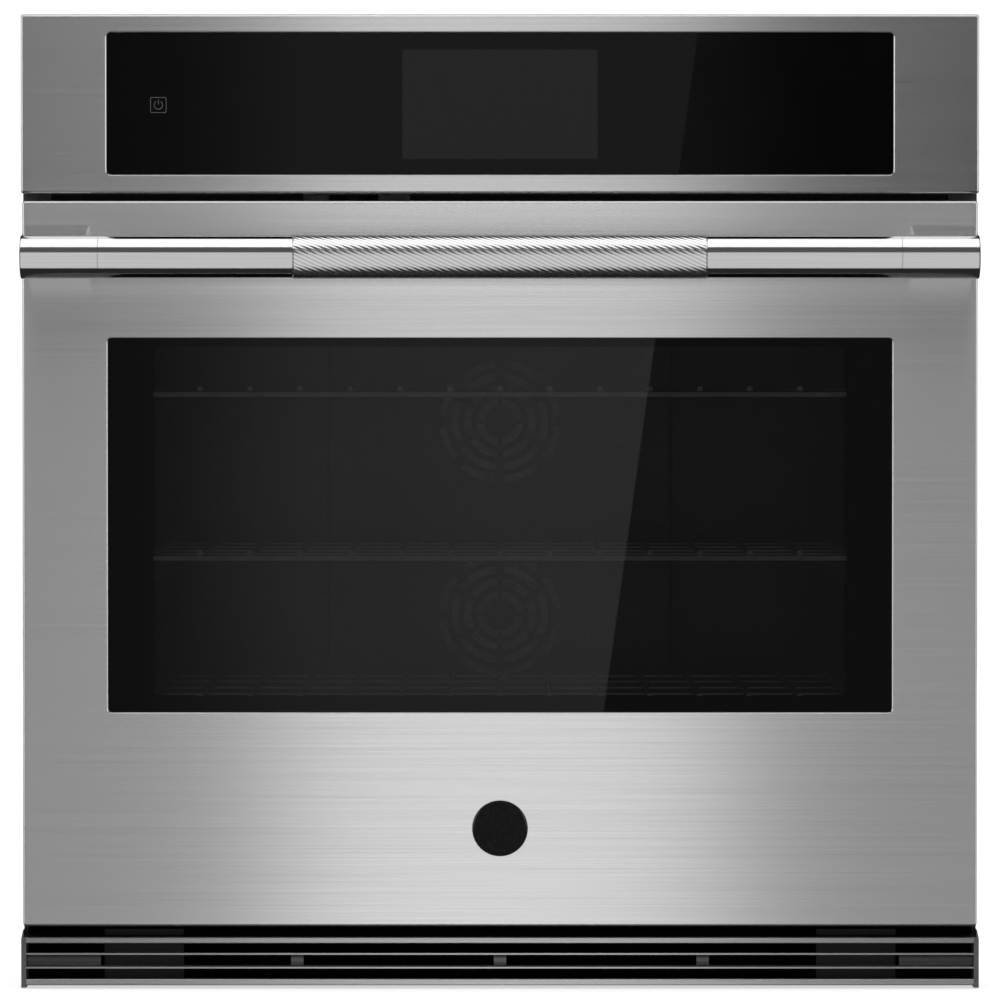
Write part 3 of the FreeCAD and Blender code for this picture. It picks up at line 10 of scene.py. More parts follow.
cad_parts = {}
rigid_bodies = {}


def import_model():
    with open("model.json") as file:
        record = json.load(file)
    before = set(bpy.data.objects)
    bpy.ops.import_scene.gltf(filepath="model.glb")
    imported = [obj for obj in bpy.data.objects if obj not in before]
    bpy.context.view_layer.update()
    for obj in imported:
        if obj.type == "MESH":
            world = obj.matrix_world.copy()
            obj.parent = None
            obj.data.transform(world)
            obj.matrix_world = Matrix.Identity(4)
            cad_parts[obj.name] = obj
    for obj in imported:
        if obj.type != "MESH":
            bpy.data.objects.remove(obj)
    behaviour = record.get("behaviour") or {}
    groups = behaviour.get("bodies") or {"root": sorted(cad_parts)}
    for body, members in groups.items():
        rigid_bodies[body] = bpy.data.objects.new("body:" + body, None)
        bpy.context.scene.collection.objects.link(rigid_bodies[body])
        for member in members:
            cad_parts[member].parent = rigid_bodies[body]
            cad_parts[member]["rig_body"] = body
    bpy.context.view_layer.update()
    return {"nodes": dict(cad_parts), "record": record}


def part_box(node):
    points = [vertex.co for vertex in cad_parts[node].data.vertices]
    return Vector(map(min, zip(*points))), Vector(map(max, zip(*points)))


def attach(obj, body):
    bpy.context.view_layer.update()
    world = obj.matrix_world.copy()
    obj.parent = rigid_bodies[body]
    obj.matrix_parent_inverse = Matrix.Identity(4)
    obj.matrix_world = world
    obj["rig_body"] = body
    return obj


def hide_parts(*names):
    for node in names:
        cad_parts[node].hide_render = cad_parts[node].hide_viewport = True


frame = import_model()
NODES = frame["nodes"]
scene = bpy.context.scene


# ---------------------------------------------------------------- node helpers

class Tree:
    """A material's or light's node tree with short calls for the nodes used here."""

    def __init__(self, owner):
        owner.use_nodes = True
        self.nodes = owner.node_tree.nodes
        self.links = owner.node_tree.links

    def add(self, kind, **settings):
        node = self.nodes.new(kind)
        for key, value in settings.items():
            setattr(node, key, value)
        return node

    def join(self, output, socket):
        self.links.new(output, socket)

    def place(self, scale, offset=(0, 0, 0)):
        """Object coordinates times a scale for each axis."""
        source = self.add("ShaderNodeTexCoord").outputs["Object"]
        mapping = self.add("ShaderNodeMapping")
        mapping.inputs["Scale"].default_value = scale
        mapping.inputs["Location"].default_value = offset
        self.join(source, mapping.inputs["Vector"])
        return mapping.outputs["Vector"]

    def noise(self, scale, detail=3.0, offset=(0, 0, 0)):
        node = self.add("ShaderNodeTexNoise")
        node.inputs["Scale"].default_value = 1.0
        node.inputs["Detail"].default_value = detail
        self.join(self.place(scale, offset), node.inputs["Vector"])
        return node.outputs["Fac"]

    def ramp(self, value, stops):
        node = self.add("ShaderNodeValToRGB")
        ends = node.color_ramp.elements
        ends[0].position, ends[0].color = stops[0][0], rgba(stops[0][1])
        ends[1].position, ends[1].color = stops[-1][0], rgba(stops[-1][1])
        for position, colour in stops[1:-1]:
            ends.new(position).color = rgba(colour)
        self.join(value, node.inputs["Fac"])
        return node.outputs["Color"]

    def spread(self, value, low, high, source=(0.3, 0.7)):
        """Maps a pattern from its own range to low..high."""
        node = self.add("ShaderNodeMapRange")
        node.inputs["From Min"].default_value = source[0]
        node.inputs["From Max"].default_value = source[1]
        node.inputs["To Min"].default_value = low
        node.inputs["To Max"].default_value = high
        self.join(value, node.inputs["Value"])
        return node.outputs["Result"]

    def bump(self, height, strength, distance):
        node = self.add("ShaderNodeBump")
        node.inputs["Strength"].default_value = strength
        node.inputs["Distance"].default_value = distance
        self.join(height, node.inputs["Height"])
        return node.outputs["Normal"]


def rgba(colour):
    if isinstance(colour, (int, float)):
        colour = (colour, colour, colour)
    return (*colour, 1.0)


def new_surface(name):
    """A material with an empty tree but for its Principled shader and output."""
    material = bpy.data.materials.new(name)
    tree = Tree(material)
    shader = next(n for n in tree.nodes if n.type == "BSDF_PRINCIPLED")
    return material, tree, shader


def patterned(name, dark, light, scale, rough, bump=0.0, metallic=0.0, detail=3.0, step=0.0002,
              specular=0.5):
    """The usual finish: a noise of the right scale drives colour, roughness and bump."""
    material, tree, shader = new_surface(name)
    pattern = tree.noise(scale, detail)
    tree.join(tree.ramp(pattern, [(0.3, dark), (0.7, light)]), shader.inputs["Base Color"])
    grain = tree.noise(scale, detail, (3.1, 1.7, 5.3))
    tree.join(tree.spread(grain, rough[0], rough[1]), shader.inputs["Roughness"])
    if bump:
        tree.join(tree.bump(grain, bump, step), shader.inputs["Normal"])
    shader.inputs["Metallic"].default_value = metallic
    shader.inputs["Specular IOR Level"].default_value = specular
    return material


# ---------------------------------------------------------------- finishes

def brushed_steel(name, grain, dark, light, rough, anisotropic, streak, fleck):
    """Sheet steel brushed along grain: streaks of colour and roughness, the highlight spread across them."""
    material, tree, shader = new_surface(name)
    streaks = tree.noise(streak, 2.0)
    tree.join(tree.ramp(streaks, [(0.25, dark), (0.75, light)]), shader.inputs["Base Color"])
    scratches = tree.noise(fleck, 1.0, (0.4, 0.9, 0.2))
    tree.join(tree.spread(scratches, rough[0], rough[1]), shader.inputs["Roughness"])
    tree.join(tree.bump(scratches, 0.03, 0.00002), shader.inputs["Normal"])
    along = tree.add("ShaderNodeVectorMath", operation="CROSS_PRODUCT")
    normal = tree.add("ShaderNodeNewGeometry").outputs["Normal"]
    tree.join(normal, along.inputs[0])
    along.inputs[1].default_value = grain
    tree.join(along.outputs["Vector"], shader.inputs["Tangent"])
    shader.inputs["Metallic"].default_value = 1.0
    shader.inputs["Anisotropic"].default_value = anisotropic
    return material


def rail_steel(name, face_y):
    """The vent rails' steel, darker than the door's, with painted shade: full colour on the outer lips,
    darkened by depth towards the floor of the folded channel, where the shade falls.
    """
    material = brushed_steel(name, (1.0, 0.03, 0.0), 0.48, 0.54, (0.26, 0.32), 1.0, (2, 400, 1100),
                             (6, 1500, 2600))
    tree = Tree(material)
    shader = next(n for n in tree.nodes if n.type == "BSDF_PRINCIPLED")
    bright = shader.inputs["Base Color"].links[0].from_socket
    split = tree.add("ShaderNodeSeparateXYZ")
    tree.join(tree.place((1, 1, 1)), split.inputs["Vector"])
    # painted shade: the colour falls off with depth behind the rails' front face
    channel_shade = tree.ramp(tree.spread(split.outputs["Y"], 0.0, 1.0, (face_y, face_y + 0.009)),
                     [(0.0, 1.0), (0.12, 0.9), (0.4, 0.35), (1.0, 0.14)])
    product = tree.add("ShaderNodeVectorMath", operation="MULTIPLY")
    tree.join(bright, product.inputs[0])
    tree.join(channel_shade, product.inputs[1])
    tree.join(product.outputs["Vector"], shader.inputs["Base Color"])
    return material


def baffle_painted_shade(name, split_y):
    """Painted shade: near-zero black for the dark vent gaps, with the two brackets in front of the split
    plane in a very dark grey, their own grey darkened by painted shade.
    """
    material, tree, shader = new_surface(name)
    split = tree.add("ShaderNodeSeparateXYZ")
    tree.join(tree.place((1, 1, 1)), split.inputs["Vector"])
    front = tree.spread(split.outputs["Y"], 1.0, 0.0, (split_y - 0.0002, split_y + 0.0002))
    grain = tree.noise((500, 500, 500), 3.0)
    # painted shade: this black and the brackets' dark grey below stand for the shade inside the vent
    black = tree.ramp(grain, [(0.3, 0.0006), (0.7, 0.0014)])
    grey = tree.ramp(grain, [(0.3, 0.007), (0.7, 0.013)])
    blend = tree.add("ShaderNodeMix", data_type="RGBA")
    tree.join(front, blend.inputs["Factor"])
    tree.join(black, blend.inputs["A"])
    tree.join(grey, blend.inputs["B"])
    tree.join(blend.outputs["Result"], shader.inputs["Base Color"])
    tree.join(tree.spread(grain, 0.5, 0.7), shader.inputs["Roughness"])
    tree.join(tree.bump(grain, 0.25, 0.00008), shader.inputs["Normal"])
    tree.join(tree.spread(front, 0.02, 0.25, (0, 1)), shader.inputs["Specular IOR Level"])
    return material


def thin_glass(name, tint, ior, dust):
    """Flat glass: part of the light mirrors by the viewing angle, the rest passes through the tint."""
    material = bpy.data.materials.new(name)
    tree = Tree(material)
    tree.nodes.remove(next(n for n in tree.nodes if n.type == "BSDF_PRINCIPLED"))
    output = next(n for n in tree.nodes if n.type == "OUTPUT_MATERIAL")
    fresnel = tree.add("ShaderNodeFresnel")
    fresnel.inputs["IOR"].default_value = ior
    clear = tree.add("ShaderNodeBsdfTransparent")
    clouding = tree.noise((9, 9, 9), 2.0)
    dusty = [c * (1 - dust) for c in tint]
    tree.join(tree.ramp(clouding, [(0.3, dusty), (0.7, tint)]), clear.inputs["Color"])
    mirror = tree.add("ShaderNodeBsdfGlossy")
    mirror.inputs["Color"].default_value = (1, 1, 1, 1)
    wipe = tree.noise((14, 14, 30), 3.0, (2, 5, 1))
    tree.join(tree.spread(wipe, 0.0, 0.012), mirror.inputs["Roughness"])
    mix = tree.add("ShaderNodeMixShader")
    tree.join(fresnel.outputs["Fac"], mix.inputs["Fac"])
    tree.join(clear.outputs["BSDF"], mix.inputs[1])
    tree.join(mirror.outputs["BSDF"], mix.inputs[2])
    tree.join(mix.outputs["Shader"], output.inputs["Surface"])
    return material


def knurled_steel(name):
    """Bright steel with painted shade that darkens it towards the floor of each groove, by the sleeve's own
    groove depth.
    """
    material, tree, shader = new_surface(name)
    groove = tree.add("ShaderNodeAttribute", attribute_name="groove").outputs["Fac"]
    # painted shade: the base colour darkens towards the groove floors
    tree.join(tree.ramp(groove, [(0.0, 0.97), (0.6, 0.88), (1.0, 0.52)]), shader.inputs["Base Color"])
    grain = tree.noise((300, 300, 300))
    tree.join(tree.spread(grain, 0.18, 0.27), shader.inputs["Roughness"])
    tree.join(tree.bump(grain, 0.05, 0.00002), shader.inputs["Normal"])
    shader.inputs["Metallic"].default_value = 1.0
    return material


def black_mirror(name, dark, light):
    """Glass with an opaque black print behind it."""
    material, tree, shader = new_surface(name)
    print_grain = tree.noise((40, 40, 40), 3.0)
    tree.join(tree.ramp(print_grain, [(0.3, dark), (0.7, light)]), shader.inputs["Base Color"])
    wipe = tree.noise((14, 14, 30), 3.0, (2, 5, 1))
    tree.join(tree.spread(wipe, 0.0, 0.02), shader.inputs["Roughness"])
    shader.inputs["IOR"].default_value = 1.52
    return material


def make_finishes():
    """One material for each slot of the record."""
    grain = (1.0, 0.03, 0.0)
    steel = brushed_steel("Brushed_Steel", grain, 0.59, 0.655, (0.20, 0.24), 1.0, (2, 400, 1100),
                          (6, 1500, 2600))
    return {
        "stainless": steel,
        "polished_steel": patterned("Polished_Steel", 0.78, 0.84, (6, 700, 700), (0.09, 0.13), 0.02, 1.0,
                                    step=0.00001),
        "knurled_steel": knurled_steel("Knurled_Steel"),
        "badge_metal": patterned("Badge_Metal", 0.016, 0.03, (400, 40, 400), (0.24, 0.34), 0.05, 0.6,
                                 step=0.00002),
        "tinted_glass": thin_glass("Tinted_Glass", (0.78, 0.785, 0.79), 1.5, 0.02),
        "black_glass": black_mirror("Black_Glass", 0.001, 0.0018),
        "clear_glass": thin_glass("Clear_Glass", (0.97, 0.98, 0.98), 1.45, 0.02),
        "display_plastic": patterned("Display_Face", 0.010, 0.014, (90, 90, 90), (0.30, 0.42), 0.05),
        "board_laminate": patterned("Board_Laminate", (0.012, 0.07, 0.03), (0.02, 0.12, 0.05),
                                    (160, 160, 260), (0.35, 0.55), 0.2, step=0.0003),
        "galvanised_sheet": galvanised("Galvanised_Sheet"),
        "black_sheet": patterned("Black_Sheet", 0.012, 0.022, (500, 500, 500), (0.42, 0.58), 0.25,
                                 step=0.00008),
        "enamel": enamel("Speckled_Enamel"),
        "woven_seal": patterned("Woven_Seal", 0.12, 0.34, (700, 700, 700), (0.8, 0.95), 0.6, step=0.0004),
        "glass_wool": patterned("Glass_Wool", (0.42, 0.36, 0.16), (0.76, 0.68, 0.40), (110, 160, 110),
                                (0.9, 1.0), 0.9, detail=6, step=0.002),
        "heater_sheath": patterned("Heater_Sheath", (0.035, 0.032, 0.03), (0.10, 0.085, 0.075),
                                   (120, 120, 120), (0.4, 0.62), 0.25, 0.5),
        "lamp_metal": patterned("Lamp_Metal", 0.36, 0.5, (90, 90, 90), (0.3, 0.45), 0.1, 0.9),
        "fan_metal": patterned("Fan_Metal", 0.42, 0.6, (60, 60, 260), (0.28, 0.42), 0.1, 1.0),
        "motor_metal": patterned("Motor_Metal", 0.08, 0.2, (30, 900, 30), (0.4, 0.6), 0.4, 0.6, step=0.0003),
        "rack_chrome": patterned("Rack_Chrome", 0.5, 0.66, (80, 80, 80), (0.12, 0.24), 0.05, 1.0),
        "slide_steel": patterned("Slide_Steel", 0.34, 0.46, (900, 8, 900), (0.26, 0.4), 0.08, 1.0,
                                 step=0.00004),
        "spring_steel": patterned("Spring_Steel", 0.12, 0.24, (200, 200, 200), (0.3, 0.5), 0.2, 0.8),
        "screw_steel": patterned("Screw_Zinc", 0.42, 0.6, (400, 400, 400), (0.2, 0.34), 0.2, 1.0),
        "switch_plastic": patterned("Switch_Moulding", (0.52, 0.48, 0.4), (0.66, 0.62, 0.54),
                                    (300, 300, 300), (0.45, 0.6), 0.15),
        "cap_plastic": patterned("Cap_Moulding", 0.055, 0.085, (600, 600, 600), (0.4, 0.55), 0.2,
                                 step=0.00008),
    }


def galvanised(name):
    """Zinc-coated sheet: flat crystals a few millimetres wide, each with its own tone and gloss."""
    material, tree, shader = new_surface(name)
    cells = tree.add("ShaderNodeTexVoronoi", feature="F1", distance="EUCLIDEAN")
    cells.inputs["Scale"].default_value = 1.0
    warp = tree.add("ShaderNodeVectorMath", operation="ADD")
    tree.join(tree.place((85, 85, 85)), warp.inputs[0])
    ripple = tree.add("ShaderNodeTexNoise")
    ripple.inputs["Scale"].default_value = 260.0
    source = tree.add("ShaderNodeTexCoord").outputs["Object"]
    tree.join(source, ripple.inputs["Vector"])
    tree.join(ripple.outputs["Color"], warp.inputs[1])
    tree.join(warp.outputs["Vector"], cells.inputs["Vector"])
    tone = tree.add("ShaderNodeSeparateColor")
    tree.join(cells.outputs["Color"], tone.inputs["Color"])
    tree.join(tree.ramp(tone.outputs["Red"], [(0.0, (0.60, 0.61, 0.63)), (1.0, (0.74, 0.75, 0.76))]),
              shader.inputs["Base Color"])
    tree.join(tree.spread(tone.outputs["Green"], 0.34, 0.52, (0, 1)), shader.inputs["Roughness"])
    fine = tree.noise((500, 500, 500), 2.0)
    tree.join(tree.bump(fine, 0.06, 0.00006), shader.inputs["Normal"])
    shader.inputs["Metallic"].default_value = 0.85
    return material


def enamel(name):
    """Dark glassy enamel with pale specks and a faint orange-peel surface."""
    material, tree, shader = new_surface(name)
    specks = tree.noise((900, 900, 900), 1.0)
    tree.join(tree.ramp(specks, [(0.0, (0.016, 0.018, 0.024)), (0.66, (0.02, 0.022, 0.03)),
                                 (0.72, (0.16, 0.17, 0.19))]), shader.inputs["Base Color"])
    peel = tree.noise((140, 140, 140), 2.0, (1, 2, 3))
    tree.join(tree.spread(peel, 0.14, 0.26), shader.inputs["Roughness"])
    tree.join(tree.bump(peel, 0.12, 0.0003), shader.inputs["Normal"])
    shader.inputs["Specular IOR Level"].default_value = 0.6
    return material


def front_of(node):
    """The least Y of a CAD node in its own coordinates."""
    return min(vertex.co.y for vertex in NODES[node].data.vertices)


def paint_cad_nodes(finishes):
    """Each CAD node takes the finish of the slot its record names, or its own variant of it."""
    own = {
        "vent_rails": rail_steel("Rail_Steel", front_of("vent_rails")),
        "vent_baffle": baffle_painted_shade("Baffle_Painted_Shade", front_of("vent_baffle") + 0.0028),
        # painted shade: the gap trim is darkened well below the black sheet, for the shade in the gap over
        # the door
        "upper_gap_trim": patterned("Gap_Painted_Shade", 0.004, 0.008, (500, 500, 500), (0.5, 0.65), 0.25,
                                    step=0.00008, specular=0.2),
        # painted shade: a darker, less metallic copy of the motor metal, so that the latch opening above the
        # door reads black
        "latch_motor": patterned("Latch_Motor_Shaded_Metal", 0.01, 0.03, (30, 900, 30), (0.5, 0.7), 0.4, 0.2,
                                 step=0.0003),
    }
    for row in frame["record"]["subparts"]:
        mesh = NODES[row["node"]].data
        mesh.materials.clear()
        mesh.materials.append(own.get(row["node"], finishes[row["material_slot"]]))


finishes = make_finishes()
paint_cad_nodes(finishes)


# ---------------------------------------------------------------- mesh helpers

def mesh_object(name, vertices, faces, material, smooth=True):
    mesh = bpy.data.meshes.new(name)
    mesh.from_pydata(vertices, [], faces)
    mesh.validate()
    mesh.update()
    if smooth:
        mesh.shade_smooth()
    mesh.materials.append(material)
    obj = bpy.data.objects.new(name, mesh)
    scene.collection.objects.link(obj)
    return obj


def grid_faces(rows, columns, close_rows=False, flip=False):
    """Quads over a grid of rows by columns of vertices, joined round if close_rows."""
    count = rows if close_rows else rows - 1
    i = np.arange(count)[:, None]
    j = np.arange(columns - 1)[None, :]
    after = (i + 1) % rows
    a = i * columns + j
    b = after * columns + j
    quads = np.stack([a, a + 1, b + 1, b], -1).reshape(-1, 4)
    if flip:
        quads = quads[:, ::-1]
    return quads.tolist()


def stand_for(obj, node):
    """obj replaces that CAD node and rides on its body."""
    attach(obj, NODES[node]["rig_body"])
    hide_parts(node)
    return obj


# ---------------------------------------------------------------- knurled grip

def knurled_grip():
    """The sleeve with sharp helical ridges, on a grid that follows them.

    starts grooves run side by side, each turns once round in lead along X, and depth is a groove's depth.
    """
    low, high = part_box("handle_grip")
    middle = (low + high) / 2
    radius = (high.z - low.z) / 2
    wall, edge_run, edge_drop = 0.0022, 0.0012, 0.0008
    inner = radius - wall
    half = (high.x - low.x) / 2
    starts, lead, depth = 34, 0.218, 0.00016
    samples = 6
    across, along = starts * samples, 640
    x = np.linspace(-half, half, along)[None, :]
    row = np.arange(across)[:, None]
    angle = 2 * math.pi * row / across - 2 * math.pi * x / lead
    ridge = np.abs((row % samples) / (samples / 2) - 1)
    cut = depth * (1 - ridge)
    fade = np.clip((half - np.abs(x)) / edge_run, 0, 1)
    r = radius - cut * fade - edge_drop * (1 - fade) ** 2
    outer = np.stack([x + 0 * angle + middle.x,
                      middle.y - r * np.cos(angle), middle.z + r * np.sin(angle)], -1).reshape(-1, 3)
    faces = grid_faces(across, along, close_rows=True, flip=True)
    count = len(outer)
    rings = [outer]
    for side, column in ((-1, 0), (1, along - 1)):
        turn = angle[:, column]
        ring = np.stack([np.full(across, middle.x + side * half),
                         middle.y - inner * np.cos(turn), middle.z + inner * np.sin(turn)], -1)
        start = count
        count += across
        rings.append(ring)
        for i in range(across):
            j = (i + 1) % across
            quad = [i * along + column, j * along + column, start + j, start + i]
            faces.append(quad[::-1] if side > 0 else quad)
    first = len(outer)
    second = first + across
    shift = round(across * 2 * half / lead)
    for i in range(across):
        j = (i + 1) % across
        faces.append([first + i, first + j, second + (j + shift) % across, second + (i + shift) % across])
    obj = mesh_object("Knurled_Grip", np.concatenate(rings).tolist(), faces, finishes["knurled_steel"])
    obj.data.set_sharp_from_angle(angle=math.radians(70))
    # each point's groove depth, stored for the finish's painted shade in the grooves
    depths = np.zeros(count, dtype=np.float32)
    depths[:first] = ((1 - ridge) + 0 * x).reshape(-1)
    groove = obj.data.attributes.new("groove", "FLOAT", "POINT")
    groove.data.foreach_set("value", depths)
    return stand_for(obj, "handle_grip")


knurled_grip()


# ---------------------------------------------------------------- soft parts

def rounded_loop(half_w, low_z, high_z, corner, spacing):
    """Points and outward directions of a rounded rectangle in X and Z."""
    centres = [(half_w - corner, high_z - corner, 0), (-half_w + corner, high_z - corner, 90),
               (-half_w + corner, low_z + corner, 180), (half_w - corner, low_z + corner, 270)]
    corners = []
    for cx, cz, start in centres:
        for step in range(9):
            a = math.radians(start + step * 11.25)
            corners.append((cx + corner * math.cos(a), cz + corner * math.sin(a)))
    path = []
    for i, (x0, z0) in enumerate(corners):
        x1, z1 = corners[(i + 1) % len(corners)]
        length = math.hypot(x1 - x0, z1 - z0)
        count = max(1, round(length / spacing))
        path += [(x0 + (x1 - x0) * k / count, z0 + (z1 - z0) * k / count) for k in range(count)]
    points = np.array(path)
    tangent = np.roll(points, -1, 0) - np.roll(points, 1, 0)
    tangent /= np.linalg.norm(tangent, axis=1)[:, None]
    outward = np.stack([tangent[:, 1], -tangent[:, 0]], -1)
    return points, outward


def woven_gasket():
    """The braided seal: a soft tube whose surface is a diagonal weave of yarns."""
    low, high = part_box("door_gasket")
    width, corner, spacing, yarn_pitch = 0.010, 0.017, 0.0011, 0.0066
    half_w = (high.x - low.x) / 2 - width / 2
    points, outward = rounded_loop(half_w, low.z + width / 2, high.z - width / 2, corner, spacing)
    around, yarns = 28, 7
    depth = (high.y - low.y) / 2
    middle_y = (high.y + low.y) / 2
    turn = np.linspace(0, 2 * math.pi, around, endpoint=False)[None, :]
    run = np.arange(len(points))[:, None] * spacing
    slant = run * 2 * math.pi / yarn_pitch
    weave = np.sin(turn * yarns + slant) * np.sin(turn * yarns - slant)
    sag = 0.00012 * np.sin(run * 31) + 0.0001 * np.sin(run * 73 + 1.3)
    swell = 0.94 + 0.06 * weave
    side = np.sign(np.cos(turn)) * np.abs(np.cos(turn)) ** 0.8 * (width / 2) * swell
    deep = np.sign(np.sin(turn)) * np.abs(np.sin(turn)) ** 0.8 * depth * swell + sag
    deep = np.clip(deep, -depth, depth)
    x = points[:, 0:1] + outward[:, 0:1] * side
    z = points[:, 1:2] + outward[:, 1:2] * side
    vertices = np.stack([x, middle_y + deep, z], -1).reshape(-1, 3)
    n = len(points)
    faces = []
    for i in range(n):
        k = (i + 1) % n
        for j in range(around):
            m = (j + 1) % around
            faces.append([i * around + j, i * around + m, k * around + m, k * around + j])
    obj = mesh_object("Woven_Gasket", vertices.tolist(), faces, finishes["woven_seal"])
    stand_for(obj, "door_gasket")
    return obj


woven_gasket()


def wool_blanket():
    """The glass-wool blanket: its CAD shell, cut finer and roughened inwards into loose tufts."""
    even_step, tuft_size, tuft_depth = 0.0085, 0.035, 0.006
    mesh = NODES["insulation"].data.copy()
    mesh.name = "Wool_Blanket"
    obj = bpy.data.objects.new("Wool_Blanket", mesh)
    scene.collection.objects.link(obj)
    remesh = obj.modifiers.new("Even", "REMESH")
    remesh.mode = "VOXEL"
    remesh.voxel_size = even_step
    tufts = bpy.data.textures.new("Tufts", "CLOUDS")
    tufts.noise_scale = tuft_size
    push = obj.modifiers.new("Tufts", "DISPLACE")
    push.texture = tufts
    push.texture_coords = "LOCAL"
    push.strength = tuft_depth
    push.mid_level = 1.0
    dg = bpy.context.evaluated_depsgraph_get()
    final = bpy.data.meshes.new_from_object(obj.evaluated_get(dg))
    obj.modifiers.clear()
    obj.data = final
    obj.data.name = "Wool_Blanket"
    final.materials.clear()
    final.materials.append(finishes["glass_wool"])
    final.shade_smooth()
    stand_for(obj, "insulation")
    return obj


wool_blanket()


# ---------------------------------------------------------------- prints on the glass

def printed(name, colour_low, colour_high, rough):
    return patterned(name, colour_low, colour_high, (600, 600, 600), rough, 0.05, step=0.00001)


def window_border():
    """The black ceramic print round the window's clear area, on the back of the outer glass."""
    low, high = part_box("door_outer_glass")
    y = high.y + 0.00015
    side, below, above, corner = 0.0458, 0.0207, 0.0144, 0.004
    margin, outer_corner, thickness = 0.001, 0.003, 0.00012
    inner, _ = rounded_loop(high.x - side, low.z + below, high.z - above, corner, 1.0)
    outer, _ = rounded_loop(high.x - margin, low.z + margin, high.z - margin, outer_corner, 1.0)
    count = min(len(inner), len(outer))
    vertices = []
    for step in (y, y + thickness):
        vertices += [(x, step, z) for x, z in inner[:count]]
        vertices += [(x, step, z) for x, z in outer[:count]]
    faces = []
    for i in range(count):
        j = (i + 1) % count
        faces.append([i, j, count + j, count + i])
        back = 2 * count
        faces.append([back + i, back + count + i, back + count + j, back + j])
        faces.append([i, back + i, back + j, j])
        faces.append([count + i, count + j, back + count + j, back + count + i])
    obj = mesh_object("Window_Print", vertices, faces, printed("Ceramic_Print", 0.0008, 0.0016, (0.5, 0.7)),
                      smooth=False)
    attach(obj, "door")
    return obj


window_border()


def flat_outline(name, loops, y, thickness, material):
    """A thin raised print between outer and inner loops of the same length, in X and Z."""
    vertices, faces = [], []
    for outer, inner in loops:
        base = len(vertices)
        count = len(outer)
        for step in (y, y + thickness):
            vertices += [(x, step, z) for x, z in outer]
            vertices += [(x, step, z) for x, z in inner]
        for i in range(count):
            j = (i + 1) % count
            o, n, back = base + i, base + j, 2 * count
            faces.append([o, n, n + count, o + count])
            faces.append([o + back, o + back + count, n + back + count, n + back])
            faces.append([o, o + back, n + back, n])
            faces.append([o + count, n + count, n + back + count, o + back + count])
    obj = mesh_object(name, vertices, faces, material, smooth=False)
    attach(obj, "chassis")
    return obj


def power_mark():
    """A thin square with a broken ring and a bar in it: the usual on and off mark."""
    low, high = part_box("control_glass")
    y = low.y - 0.00006
    thick = 0.00005
    cx, cz = low.x + 0.0491, (low.z + high.z) / 2 - 0.00105
    ink = printed("Print_Grey", 0.05, 0.08, (0.4, 0.6))
    square_out, _ = rounded_loop(0.0064, cz - 0.0062, cz + 0.0062, 0.0012, 1.0)
    square_in, _ = rounded_loop(0.0059, cz - 0.0057, cz + 0.0057, 0.0009, 1.0)
    square_out = [(cx + x, z) for x, z in square_out]
    square_in = [(cx + x, z) for x, z in square_in]
    turns = [math.radians(a) for a in range(125, 416, 10)]
    ring_out = [(cx + 0.0036 * math.cos(a), cz + 0.0036 * math.sin(a)) for a in turns]
    ring_in = [(cx + 0.0030 * math.cos(a), cz + 0.0030 * math.sin(a)) for a in turns]
    arc = ring_out + ring_in[::-1]
    centre_arc = [((x + u) / 2, (z + w) / 2) for (x, z), (u, w) in zip(ring_out, ring_in)]
    arc_inner = centre_arc + centre_arc[::-1]
    bar_out = [(cx - 0.0003, cz + 0.0004), (cx + 0.0003, cz + 0.0004), (cx + 0.0003, cz + 0.0042),
               (cx - 0.0003, cz + 0.0042)]
    bar_in = [(cx, cz + 0.0005), (cx, cz + 0.0005), (cx, cz + 0.0041), (cx, cz + 0.0041)]
    loops = [(square_out, square_in), (arc, arc_inner), (bar_out, bar_in)]
    return flat_outline("Power_Mark", loops, y, thick, ink)


power_mark()


def display_window():
    """The slightly paler rectangle where the glass is clear over the display."""
    low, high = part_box("display_module")
    side, end, thickness = 0.006, 0.005, 0.00004
    half_w, low_z, high_z = high.x - side, low.z + end, high.z - end
    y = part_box("control_glass")[0].y - 0.00005
    material, tree, shader = new_surface("Display_Window")
    dots = tree.noise((900, 900, 900), 1.0)
    tree.join(tree.ramp(dots, [(0.3, 0.0035), (0.7, 0.0055)]), shader.inputs["Base Color"])
    wipe = tree.noise((14, 14, 30), 3.0, (2, 5, 1))
    tree.join(tree.spread(wipe, 0.0, 0.03), shader.inputs["Roughness"])
    shader.inputs["IOR"].default_value = 1.75
    outline, _ = rounded_loop(half_w, low_z, high_z, 0.001, 1.0)
    count = len(outline)
    vertices = [(x, y, z) for x, z in outline] + [(x, y + thickness, z) for x, z in outline]
    faces = [list(range(count))[::-1], [count + i for i in range(count)]]
    for i in range(count):
        j = (i + 1) % count
        faces.append([i, j, count + j, count + i])
    obj = mesh_object("Display_Window", vertices, faces, material, smooth=False)
    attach(obj, "chassis")
    return obj


display_window()


# ---------------------------------------------------------------- studio

FRONT_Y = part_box("door_skin")[0].y
CAMERA_DISTANCE = 5.0
CAMERA_LENS_MM = 228.0
CAMERA_Y = FRONT_Y - CAMERA_DISTANCE
CAMERA_Z = 0.49
AIM_Z = 0.3873
STEEL_LIGHT_Z = -0.75
STEEL_LIGHT_H = 3.9


def collection_of(name, nodes, state="INCLUDE"):
    """A light's receiver list."""
    group = bpy.data.collections.new(name)
    for obj in nodes:
        group.objects.link(obj)
    for entry in group.collection_objects:
        entry.light_linking.link_state = state
    return group


def piece(name):
    return NODES.get(name) or bpy.data.objects[name]


